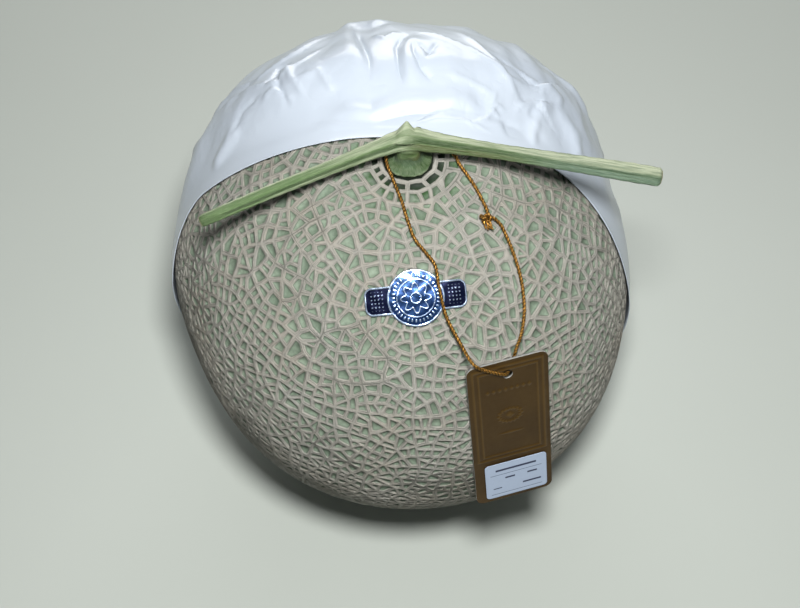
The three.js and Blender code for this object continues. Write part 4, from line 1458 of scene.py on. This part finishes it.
RIDGE, VALLEY, STEP, SWELL = FoldShape
FOLDS = tuple(Fold(*row) for row in (
    (SWELL, 3.2, 1.6, ((110, 40), (103, 40), (96, 47))),
    (RIDGE, 0.9, 1.0, ((90, 53), (64, 58), (58, 59), (36, 58), (31, 56))),
    (SWELL, 3.4, 2.4, ((150, 66), (138, 72), (125, 77), (90, 77), (65, 75), (48, 70), (32, 66))),
    (STEP, 1.6, 1.5, (
        (153, 64), (145, 74), (135, 80), (107, 83), (68, 79), (51, 74), (38, 70), (28, 66))),
    (VALLEY, 0.8, 1.3, ((106, 47), (107, 58), (108, 65), (112, 70))),
    (STEP, 1.2, 1.1, ((105, 39), (109, 57), (111, 65), (115, 70))),
    (VALLEY, 0.8, 1.3, ((90, 56), (94, 62), (94, 69), (91, 73))),
    (STEP, 1.2, -1.0, ((88, 56), (91, 63), (91, 69), (87, 74))),
    (VALLEY, 0.8, 1.2, ((87, 60), (86, 65), (81, 69), (70, 71))),
    (VALLEY, 0.7, 1.0, ((85, 61), (80, 64), (74, 64))),
    (VALLEY, 0.7, 1.0, ((76, 59), (78, 63), (80, 67))),
    (RIDGE, 0.9, 1.0, ((102, 54), (98, 58), (92, 55))),
    (RIDGE, 0.8, 0.9, ((75, 47), (60, 56), (45, 59), (36, 52))),
    (STEP, 1.0, 1.0, ((35, 60), (33, 54), (29, 58))),
    (VALLEY, 0.8, 1.2, ((144, 49), (139, 50), (134, 48), (131, 51))),
    (VALLEY, 0.8, 1.2, ((134, 48), (142, 54), (148, 59))),
    (RIDGE, 0.8, 1.1, ((132, 50), (138, 56), (142, 62))),
    (RIDGE, 0.8, 1.0, ((148, 50), (144, 53), (145, 60))),
    (RIDGE, 0.9, 1.0, ((140, 57), (135, 59), (130, 61), (133, 67))),
    (RIDGE, 0.8, 0.9, ((151, 26), (142, 36), (139, 44), (126, 47), (108, 44))),
    (RIDGE, 0.8, 0.8, ((151, 30), (145, 40), (141, 52), (129, 54), (112, 51))),
    (VALLEY, 0.8, 0.8, ((160, 42), (151, 45), (145, 50))),
    (SWELL, 2.0, 1.2, ((51, 38), (44, 35), (37, 32), (32, 28))),
    (RIDGE, 0.8, 0.9, ((50, 57), (45, 53), (38, 50), (35, 44))),
    (STEP, 1.2, 0.9, ((31, 64), (19, 65), (8, 65))),
    (SWELL, 1.6, 0.9, ((32, 52), (21, 57), (11, 59))),
    (RIDGE, 0.8, 0.7, ((79, 82), (52, 78), (36, 73), (22, 69), (12, 66))),
    (SWELL, 2.4, 1.1, ((40, 49), (31, 45))),
    (RIDGE, 0.8, 0.8, ((43, 62), (36, 66), (30, 64))),
    (RIDGE, 0.9, 0.8, ((69, 68), (54, 66), (41, 63))),
    (SWELL, 2.6, 1.2, ((31, 49), (22, 44), (12, 43))),
    (SWELL, 2.6, 1.1, ((155, 45), (167, 36))),
    (SWELL, 3.0, 1.2, ((158, 30), (150, 5), (152, -20))),
    (SWELL, 3.4, 1.3, ((25, 25), (32, 0), (28, -25))),
    (RIDGE, 1.7, 1.4, ((120, 30), (112, 5), (118, -28))),
    (RIDGE, 1.7, 1.4, ((70, 32), (62, 8), (72, -30))),
    (STEP, 1.9, 1.3, ((100, 30), (92, 10), (84, -12))),
    (SWELL, 3.0, -1.0, ((162, 79), (123, 81), (86, 80), (60, 76), (42, 73), (26, 69))),
    (SWELL, 1.5, 0.5, ((94, 86), (61, 82), (36, 78), (16, 73))),
    (RIDGE, 0.7, 0.5, ((42, 73), (25, 72), (12, 69))),
    (RIDGE, 0.7, 0.4, ((37, 72), (23, 70), (12, 67))),
    (RIDGE, 0.8, 0.9, ((32, 72), (32, 68), (37, 64), (32, 62))),
    (VALLEY, 0.6, 0.8, ((60, 56), (48, 55), (39, 52), (40, 34))),
))


@dataclass
class FilmWrap:
    """The thin film over the back half: taut along its front edge, standing off and creased over the top.

    A draw is the polar angle where the edge starts to come forward, over how many degrees, and how far.
    """

    body: FruitBody
    gap: float = 0.7
    least_gap: float = 0.55
    thickness: float = 0.22
    top_angle: float = 5.6
    hem_height: float = 11.0
    edge_y: float = 5.8
    left_draw: tuple = (55.0, 26.0, 14.0)
    right_draw: tuple = (25.0, 58.0, 19.5)
    stand_off: float = 9.7
    taut: float = 6.0
    left_rise: tuple = (0.15, 0.75)
    right_rise: tuple = (0.38, 0.5)
    back: tuple = (0.0, 0.862, 0.507)
    fold_start: tuple = (3.0, 6.0)
    loose_start: tuple = (7.0, 9.0)
    crumples: int = 26
    crumple_share: float = 0.9
    lip: tuple = (0.35, 1.1)
    map_middle: tuple = (90.0, 58.0)
    rows: int = 180
    columns: int = 226
    flat: tuple = (0.24, 0.19)
    seed: int = 11

    def height(self, ways: ndarray, from_edge: ndarray) -> ndarray:
        """The film's plain height over the skin: the crest and a gap, and the stand-off over the back."""
        right = ease((ways[..., 0] + 0.3) / 0.6)
        start = self.left_rise[0] + (self.right_rise[0] - self.left_rise[0]) * right
        over = self.left_rise[1] + (self.right_rise[1] - self.left_rise[1]) * right
        away = ease((ways @ np.array(self.back) - start) / over)
        return self.gap + self.body.net_height + self.stand_off * away * ease((from_edge - self.taut) / 20)

    def edge(self, polar: ndarray, draw: tuple) -> ndarray:
        """How far back the front edge lies at polar angles in degrees."""
        start, over, forward = draw
        return self.edge_y - forward * ease((polar - start) / over)

    def onto(self, ways: ndarray) -> ndarray:
        """Lay ways on a flat map: the angle from the film's middle, times the radius, each way from it."""
        middle = direction(*self.map_middle)
        east = np.array([-1.0, 0.0, 0.0])
        north = np.cross(middle, east)
        angle = np.arccos(np.clip(ways @ middle, -1, 1))
        flat = np.stack([ways @ east, ways @ north], axis=-1)
        return flat * (self.body.radius * angle / np.maximum(np.linalg.norm(flat, axis=-1), 1e-9))[..., None]

    def crumple(self, places: ndarray) -> ndarray:
        """Straight-sided crumple: folded waves across random ways, each inside its own patch.

        A wave is the distance of a share of its length from a half, which makes flat facets with sharp
        creases between them.
        """
        rng = np.random.default_rng(self.seed)
        out = np.zeros(places.shape[:-1])
        for _ in range(self.crumples):
            turn = rng.uniform(0, math.pi)
            wave = rng.uniform(9, 26)
            where = rng.uniform((-85, -110), (85, 30))
            size = rng.uniform(14, 34)
            phase = (places @ np.array([math.cos(turn), math.sin(turn)])) / wave + rng.uniform(0, 1)
            bent = phase + 0.12 * np.sin(places @ rng.uniform(-0.12, 0.12, 2))
            patch = np.exp(-(((places - where) ** 2).sum(-1)) / size**2)
            out += (np.abs((bent % 1.0) - 0.5) * 2 - 0.5) * patch * wave * 0.055
        return out

    def surface(self) -> Surface:
        """The film's inner face, on a grid of polar angles and of compass angles between its two front edges.

        Its height is the plain height, plus the folds and the crumple, which start behind the edge, plus a
        lip that fades from the edge by its reach.
        """
        hem_radius = self.body.radius + self.stand_off * 0.5
        hem = 180 - math.degrees(math.acos((self.body.centre[2] - self.hem_height) / hem_radius))
        share = np.linspace(0, 1, self.rows)
        polar = (self.top_angle + (hem - self.top_angle) * (0.5 * share + 0.5 * share**3))[:, None]
        level = self.body.radius * np.sin(np.radians(polar))
        start = np.arcsin(np.minimum(0.995, self.edge(polar, self.right_draw) / level))
        end = math.pi - np.arcsin(np.minimum(0.995, self.edge(polar, self.left_draw) / level))
        compass = start + (end - start) * np.linspace(0, 1, self.columns)[None]
        ways = direction(np.degrees(compass), 90 - polar + 0 * compass)
        draw = np.where(ways[..., 0] > 0, self.edge(polar, self.right_draw), self.edge(polar, self.left_draw))
        from_edge = self.body.radius * ways[..., 1] - draw
        places = self.onto(ways)
        folds = sum(fold.lift(places, self.onto) for fold in FOLDS)
        starts = (self.fold_start, self.loose_start)
        folded, loose = (ease((from_edge - start) / over) for start, over in starts)
        height = self.height(ways, from_edge) + folded * folds
        height += self.crumple_share * loose * self.crumple(places)
        rise, reach = self.lip
        height = np.maximum(height, self.body.net_height + self.least_gap) + rise * np.exp(-from_edge / reach)
        points = self.body.over_skin(ways, height).reshape(-1, 3)
        return Surface(points, [grid_faces(self.rows, self.columns)], {"loose": loose.ravel()})

    def build(self) -> None:
        """Make the film, give it its thickness, and dress it."""
        piece = self.surface().to_object("film_sheet")
        add_modifier(piece, "SOLIDIFY", thickness=self.thickness * MM, offset=1.0)
        finish_piece(piece, "film_wrap", [FilmFinish("film", roughness=0.36, specular=0.6).material()])


@dataclass
class FoilSeal:
    """A foil sticker laid over the net: a disc with a round-cornered wing on each side."""

    body: FruitBody
    facing: tuple = (0.0393, -0.5509, 0.8337)
    along: tuple = (0.994, 0.111, 0.022)
    radius: float = 8.2
    wing_reach: float = 14.8
    wing_half: float = 4.1
    wing_corner: float = 2.2
    wing_rim: float = 0.45
    disc_edge: float = 8.25
    height: float = 1.48
    dent: float = 0.06
    relief: float = 0.07
    thickness: float = 0.2
    around: int = 360
    outward: int = 60

    def outline(self, angle: ndarray) -> ndarray:
        """Distance to the edge: the farther of the disc's and the round-cornered wings' edges."""
        x, y = np.abs(np.cos(angle)), np.abs(np.sin(angle))
        straight = np.minimum(self.wing_reach / np.maximum(x, 1e-9), self.wing_half / np.maximum(y, 1e-9))
        corner = np.array([self.wing_reach - self.wing_corner, self.wing_half - self.wing_corner])
        along = x * corner[0] + y * corner[1]
        inside = np.maximum(along**2 - (corner @ corner) + self.wing_corner**2, 0.0)
        rounded = along + np.sqrt(inside)
        in_corner = (straight * x > corner[0]) & (straight * y > corner[1])
        return np.maximum(self.radius, np.where(in_corner, np.minimum(straight, rounded), straight))

    def silver(self, x: ndarray, y: ndarray) -> ndarray:
        """Where the foil is silver: rims, a toothed ring, a rosette's outline, and marks on the wings."""
        far, turn = np.hypot(x, y), np.arctan2(y, x)
        wide, high = np.abs(x), np.abs(y)

        def band(value: ndarray, middle: float, half: float) -> ndarray:
            return np.clip((half - np.abs(value - middle)) / 0.16 + 0.5, 0, 1)

        ticks = 0.8 * band(far, 6.5, 0.4) * (np.abs(((turn * 36 / (2 * math.pi)) % 1.0) - 0.5) < 0.17)
        petals = np.maximum(band(far - 0.75 * np.cos(8 * turn), 3.6, 0.13), band(far, 1.5, 0.12))
        on_disc = np.maximum.reduce([band(far, 7.95, 0.2), band(far, 5.4, 0.1), ticks, petals])
        marks = 0.62 * band((wide - 9.1) % 1.05, 0.5, 0.24) * band(y % 1.1, 0.55, 0.26)
        marks = marks * (wide > 9.1) * (wide < 13.3) * (high < 2.75)
        past_x, past_y = wide - self.wing_reach + self.wing_corner, high - self.wing_half + self.wing_corner
        past = np.hypot(np.maximum(past_x, 0), np.maximum(past_y, 0))
        past = past + np.minimum(np.maximum(past_x, past_y), 0)
        rim = np.clip((self.wing_rim - self.wing_corner + past) / 0.16 + 0.5, 0, 1)
        return np.where(far < self.disc_edge, on_disc, np.maximum(marks, rim))

    def build(self) -> None:
        """Lay the foil over the net: rings of points from the middle to the outline, lifted at the lines."""
        facing = unit(np.array(self.facing))
        along = np.array(self.along)
        along = unit(along - facing * (along @ facing))
        across = np.cross(facing, along)
        angle = (np.arange(self.around) / self.around * 2 * math.pi)[None]
        share = np.linspace(0, 1, self.outward + 1)[1:, None]
        reach = share * self.outline(angle)
        x, y = reach * np.cos(angle), reach * np.sin(angle)
        x, y = np.append(x.ravel(), 0.0), np.append(y.ravel(), 0.0)
        silver = self.silver(x, y)
        flat = np.stack([x, y], axis=-1) / self.body.radius
        ways = unit(facing + flat[:, :1] * along + flat[:, 1:] * across)
        dents = self.dent * np.sin(1.05 * x + 0.6 * np.sin(y)) * np.sin(1.15 * y + 0.5 * np.sin(x))
        points = self.body.over_skin(ways, self.height + dents + self.relief * silver)
        inner = np.arange(self.around)
        middle = np.full(self.around, len(points) - 1)
        fan = np.stack([middle, inner, (inner + 1) % self.around], axis=-1)
        faces = [grid_faces(self.outward, self.around, wrap_columns=True), fan]
        wing = (np.hypot(x, y) > self.disc_edge).astype(float)
        piece = Surface(points, faces, {"silver": silver, "wing": wing}).to_object("foil_seal")
        add_modifier(piece, "SOLIDIFY", thickness=self.thickness * MM, offset=1.0)
        finish_piece(piece, "seal", [FoilFinish("foil", roughness=0.4, metallic=0.7).material()])


@dataclass
class CardTag:
    """The hang tag: a card with round corners, embossed borders and a punched hole, and its paper label."""

    body: FruitBody
    width: float = 25.0
    length: float = 60.5
    thickness: float = 0.8
    corner: float = 2.6
    tilt: float = 19.0
    turn: float = 16.2
    centre: tuple = (32.0, -66.3, 25.0)
    hole_radius: float = 1.5
    hole_from_top: float = 5.7
    step: float = 0.27
    emboss: float = 0.22
    panel_down: float = 21.5
    label_width: float = 20.0
    label_length: float = 15.4
    label_corner: float = 1.2
    label_lift: float = 0.37
    label_right: float = 0.7
    label_up: float = 1.9

    def place(self, x: ndarray, y: ndarray, z: ndarray) -> ndarray:
        """Points from the card's own frame: right, towards its top, and out of its face."""
        turn, tilt = math.radians(self.turn), math.radians(self.tilt)
        right = np.array([math.cos(turn), math.sin(turn), 0.0])
        top = np.array([-math.sin(tilt) * math.sin(turn), math.sin(tilt) * math.cos(turn), math.cos(tilt)])
        out = np.cross(right, top)
        centre = np.array(self.centre) + self.body.centre
        return centre + x[..., None] * right + y[..., None] * top + z[..., None] * out

    def sheet_grid(self, width: float, length: float, corner: float, step: float) -> tuple[ndarray, ndarray]:
        """A grid over a round-cornered rectangle: even rows whose width follows the corners' arcs."""
        middle = np.linspace(-length / 2 + corner, length / 2 - corner, max(4, int(length / step)))
        arc = corner * np.sin(np.linspace(0, math.pi / 2, 10))[1:]
        y = np.concatenate([middle[0] - arc[::-1], middle, middle[-1] + arc])
        beyond = np.maximum(np.abs(y) - (length / 2 - corner), 0.0)
        half = width / 2 - corner + np.sqrt(np.maximum(corner**2 - beyond**2, 0.0))
        half = np.maximum(half, width / 2 - corner * 0.999)
        share = np.linspace(-1, 1, int(width / step))
        return share[:, None] * half[None], np.broadcast_to(y[None], (len(share), len(y)))

    def raised(self, x: ndarray, y: ndarray) -> ndarray:
        """The embossing, from 0 to 1: two borders, a row of lozenges, a wavy ring round another, and a bar."""
        v = y - (self.length / 2 - self.panel_down)
        up = v + 1.5

        def frame_line(half_x: float, half_y: float, half: float) -> ndarray:
            edge = np.maximum(np.abs(x) - half_x, np.abs(v) - half_y)
            return np.clip((half - np.abs(edge)) / 0.18 + 0.5, 0, 1)

        def lozenge(across: ndarray, half_x: float, cy: float, half_y: float) -> ndarray:
            return np.clip((1 - np.abs(across) / half_x - np.abs(v - cy) / half_y) * 2.5, 0, 1)

        lines = np.maximum(frame_line(10.8, 19.6, 0.35), frame_line(9.1, 17.9, 0.3))
        row = lozenge(((x / 1.85) % 1.0) - 0.5, 0.4, 9.8, 1.1) * (np.abs(x) < 7.4)
        far, turn = np.hypot(x, up / 0.8), np.arctan2(up, x)
        wreath = np.clip((0.55 - np.abs(far - 3.4 - 0.35 * np.cos(16 * turn))) / 0.2, 0, 1)
        return np.maximum.reduce([lines, row, wreath, lozenge(x, 1.6, -1.5, 1.6), lozenge(x, 5.5, -9.0, 0.55)])

    def card(self) -> Surface:
        """The card's face: a grid with a round hole, lifted by the embossing.

        Near the hole, the grid's squares are drawn to circles: a place at the square's rim goes to the
        hole's radius, and the change fades to nothing at three times that size.
        """
        x, y = self.sheet_grid(self.width, self.length, self.corner, self.step)
        cy = self.length / 2 - self.hole_from_top
        rows = y[0]
        inner = self.hole_radius * 0.85
        rx, ry = x, y - rows[np.argmin(np.abs(rows - cy))]
        square = np.maximum(np.abs(rx), np.abs(ry))
        round_off = np.maximum(np.hypot(rx, ry), 1e-6)
        cut_x = np.abs(x[:, 0])
        half = cut_x[np.argmin(np.abs(cut_x - inner))]
        pull = np.clip((3 * half - square) / (2 * half), 0, 1)
        scale = 1 + pull * (square * self.hole_radius / half / round_off - 1)
        hx, hy = rx * scale, (y - ry) + ry * scale
        raised = self.raised(hx, hy)
        quads = grid_faces(*x.shape)
        removed = (square < half - 1e-4).ravel()
        quads = quads[~removed[quads].any(axis=1)]
        corner_in = (square.ravel()[quads] <= half + 1e-4).all(axis=1)
        quads = quads[~corner_in]
        used = np.unique(quads)
        renumber = np.full(x.size, -1)
        renumber[used] = np.arange(len(used))
        points = self.place(hx, hy, self.thickness / 2 + self.emboss * raised).reshape(-1, 3)[used]
        return Surface(points, [renumber[quads]], {"raised": raised.ravel()[used]})

    def label(self) -> Surface:
        """The label: a round-cornered sheet with ruled lines and short bars as its print."""
        x, y = self.sheet_grid(self.label_width, self.label_length, self.label_corner, 0.2)
        down = -self.length / 2 + self.label_up + self.label_length / 2
        bars = ((0.0, 4.6, 6.6, 0.42), (-2.0, 0.6, 1.6, 0.36), (5.2, 0.6, 1.6, 0.36), (-6.2, -3.6, 1.4, 0.2),
                (5.0, -3.6, 3.0, 0.36), (0.0, -6.2, 8.4, 0.1), (0.0, 2.6, 8.4, 0.1))
        ink = np.zeros(x.shape)
        for cx, cy, half_x, half_y in bars:
            edge = np.maximum(np.abs(x - cx) - half_x, np.abs(y - cy) - half_y)
            ink = np.maximum(ink, np.clip(0.5 - edge / 0.2, 0, 1))
        z = np.full(x.shape, self.thickness / 2 + self.label_lift)
        points = self.place(x + self.label_right, y + down, z)
        return Surface(points.reshape(-1, 3), [grid_faces(*x.shape)], {"ink": ink.ravel()})

    def build(self) -> None:
        """Make the card and its label, give each its thickness, and dress them."""
        core = PaperFinish("card_core", roughness=0.8, specular=0.3, white=srgb(128, 126, 118))
        face = CardFinish("card", roughness=0.45, metallic=0.45)
        print_paper = PaperFinish("label", roughness=0.6)
        card = self.card().to_object("hang_tag")
        add_modifier(card, "SOLIDIFY", thickness=self.thickness * MM, offset=-1.0, material_offset_rim=1)
        finish_piece(card, "tag", [face.material(), core.material(printed=False)])
        label = self.label().to_object("tag_paper")
        add_modifier(label, "SOLIDIFY", thickness=0.2 * MM, offset=1.0)
        finish_piece(label, "tag_label", [print_paper.material(printed=True)])


@dataclass
class GoldCord:
    """The gold cord: two strands twisted together, looped round the stalk and through the tag's hole."""

    radius: float = 0.55
    pitch: float = 2.2
    stations: int = 1150
    sides: int = 14
    length: float = 0.186
    knot_centre: tuple = (23.3, -20.0, 145.3)
    tails: tuple = ((25.0, -22.6, 144.0), (24.2, -23.0, 143.9))
    route: tuple = (
        (24.0, -18.0, 145.0), (22.2, -13.5, 146.0), (20.1, -9.6, 147.1), (17.8, -6.2, 148.2),
        (15.9, -3.5, 148.9), (14.6, -0.8, 149.3), (10.8, 2.0, 150.4), (6.4, 4.2, 150.9), (1.3, 5.0, 151.1),
        (-3.3, 3.6, 151.0), (-5.3, 0.2, 150.9), (-5.6, -3.4, 150.4), (-3.5, -9.6, 149.5),
        (-1.1, -16.2, 148.5), (0.7, -22.2, 147.1), (2.7, -27.2, 145.4), (5.7, -30.8, 144.1),
        (8.4, -34.2, 142.7), (9.6, -39.6, 139.7), (11.7, -46.6, 134.7), (15.6, -53.2, 131.0),
        (19.6, -60.0, 129.7), (22.4, -60.3, 127.2), (25.2, -60.2, 125.4),
        (27.8, -60.1, 124.1), (29.2, -59.6, 122.9), (29.9, -58.6, 122.1), (30.3, -57.5, 121.7),
        (30.9, -56.2, 122.5), (31.5, -55.2, 124.8), (32.1, -53.6, 127.0), (34.0, -48.0, 126.8),
        (34.9, -41.8, 128.8), (34.6, -37.5, 131.3), (33.9, -33.8, 133.8), (32.3, -29.2, 137.0),
        (29.6, -23.3, 140.6), (27.6, -20.2, 142.6), (25.3, -19.2, 144.3),
    )

    def twisted(self, line: ndarray, sides: int, closed: bool = False) -> Surface:
        """A two-strand twist along a line: the cord's radius times 0.6 plus 0.4 of a cosine's size.

        The cosine is of the angle less a full turn in each pitch.

        Args:
            line: the centreline.
            sides: points round it.
            closed: whether it is a loop.

        Returns:
            The surface with the values strand and lay.
        """
        run = np.linalg.norm(np.diff(line, axis=0), axis=1).sum()
        turns = round(run / self.pitch)

        def phase(share: ndarray, angle: ndarray) -> ndarray:
            return angle - 2 * math.pi * turns * share

        made = tube(line, lambda s, a: self.radius * (0.6 + 0.4 * np.abs(np.cos(phase(s, a)))), sides, closed)
        at = phase(made.values["share"], made.values["angle"])
        lay = np.stack([2.2 * np.cos(at), 2.2 * np.sin(at), 2.5 * made.values["share"] * run], axis=-1)
        made.values = {"strand": np.abs(np.cos(at)), "lay": lay}
        return made

    def knot(self) -> Surface:
        """The knot: a trefoil of the cord drawn tight, and two tails frayed into threads."""
        turn = np.linspace(0, 2 * math.pi, 121)[:-1]
        loop = np.stack([
            np.sin(turn) + 2 * np.sin(2 * turn),
            np.cos(turn) - 2 * np.cos(2 * turn),
            -1.5 * np.sin(3 * turn),
        ], axis=-1) * 0.5
        centre = np.array(self.knot_centre)
        made = self.twisted(loop[:, [0, 2, 1]] + centre, 12, closed=True)
        rng = np.random.default_rng(3)
        for tip in self.tails:
            for _ in range(4):
                end = np.array(tip) + rng.normal(0, 0.26, 3)
                bend = (centre + end) / 2 + rng.normal(0, 0.3, 3)
                thread = tube(smooth_line([centre, bend, end], 12), lambda s, a: 0.24 + 0 * s * a, 6)
                thread.values = {"strand": np.full(len(thread.points), 0.8), "lay": thread.points * 1.5}
                made = made.joined(thread)
        return made

    def build(self) -> None:
        line = smooth_line((self.knot_centre, *self.route, self.knot_centre), self.stations)
        gold = GoldThreadFinish("gold_thread", roughness=0.35, metallic=0.8).material()
        knot = self.knot().to_object("gold_knot")
        finish_piece(knot, "cord_knot", [gold])
        cord = self.twisted(line, self.sides).to_object("gold_cord")
        finish_piece(cord, "cord", [gold])
        run = float(np.linalg.norm(np.diff(line, axis=0), axis=1).sum()) * MM
        log.info("cord runs %.4f m", run)


@dataclass
class Studio:
    """The camera at the photograph's angle, a pale floor, and soft light from beside the camera."""

    body: FruitBody
    elevation: float = 61.0
    distance: float = 493.6
    right: float = 1.6
    down: float = 7.67
    focal: float = 1448.0
    frame_width: float = 800.0
    sensor: float = 36.0
    key_from_eye: tuple = (16, 72, 38)
    lights: tuple = (
        ("fill_left", (-600, -500, 500), 0.8, 0.12), ("fill_right", (650, -100, 600), 0.8, 0.12),
        ("back", (0, 900, 330), 0.8, 5.2),
    )
    sky: tuple = srgb(226, 232, 236)
    sky_strength: float = 0.08
    floor_half: float = 2500.0

    @property
    def eye(self) -> ndarray:
        """Where the camera stands."""
        tip = math.radians(self.elevation)
        ahead, up = np.array([0, math.cos(tip), -math.sin(tip)]), np.array([0, math.sin(tip), math.cos(tip)])
        return self.body.centre - self.distance * ahead - self.right * np.array([1.0, 0, 0]) - self.down * up

    def camera(self) -> None:
        """Make the camera: its lens is the sensor's width times the focal length over the frame's width."""
        data = bpy.data.cameras.new("camera")
        data.sensor_width = self.sensor
        data.lens = self.sensor * self.focal / self.frame_width
        data.clip_start = 0.01
        made = linked("camera", data)
        made.location = self.eye * MM
        made.rotation_euler = (math.radians(90 - self.elevation), 0, 0)
        bpy.context.scene.camera = made

    def light(self, name: str, place: Sequence[float], size: float, power: float) -> None:
        """A round area light at a place, of a width in metres and a power in watts, aimed at the fruit."""
        data = bpy.data.lights.new(name, "AREA")
        data.shape, data.size, data.energy = "DISK", size, power
        made = linked(name, data)
        place = np.array(place)
        made.location = place * MM
        away = place - self.body.centre
        turn = math.atan2(away[0], -away[1])
        tip = math.atan2(math.hypot(away[0], away[1]), away[2])
        made.rotation_euler = (tip, 0, turn)

    def build(self) -> None:
        """Make the camera, the lights, the sky and the floor."""
        self.camera()
        self.light("key", self.eye + self.key_from_eye, 0.08, 3.35)
        for light in self.lights:
            self.light(*light)
        world = bpy.data.worlds.new("studio")
        world.use_nodes = True
        sky = world.node_tree.nodes["Background"]
        sky.inputs["Color"].default_value = self.sky
        sky.inputs["Strength"].default_value = self.sky_strength
        bpy.context.scene.world = world
        bpy.context.scene.view_settings.view_transform = "Standard"
        line = np.linspace(-self.floor_half, self.floor_half, 9)
        x, y = np.meshgrid(line, line, indexing="ij")
        points = np.stack([x, y, 0 * x], axis=-1).reshape(-1, 3)
        floor = Surface(points, [grid_faces(*x.shape)]).to_object("floor")
        floor.data.materials.append(FloorFinish("floor", roughness=0.85, specular=0.2).material())


def main() -> None:
    """Build every piece in order."""
    logging.basicConfig(level=logging.INFO, format="%(message)s")
    body = FruitBody()
    Studio(body).build()
    GoldCord().build()
    NettedRind(body).build()
    VineStem(body).build()
    FilmWrap(body).build()
    FoilSeal(body).build()
    CardTag(body).build()


if __name__ == "__main__":
    main()
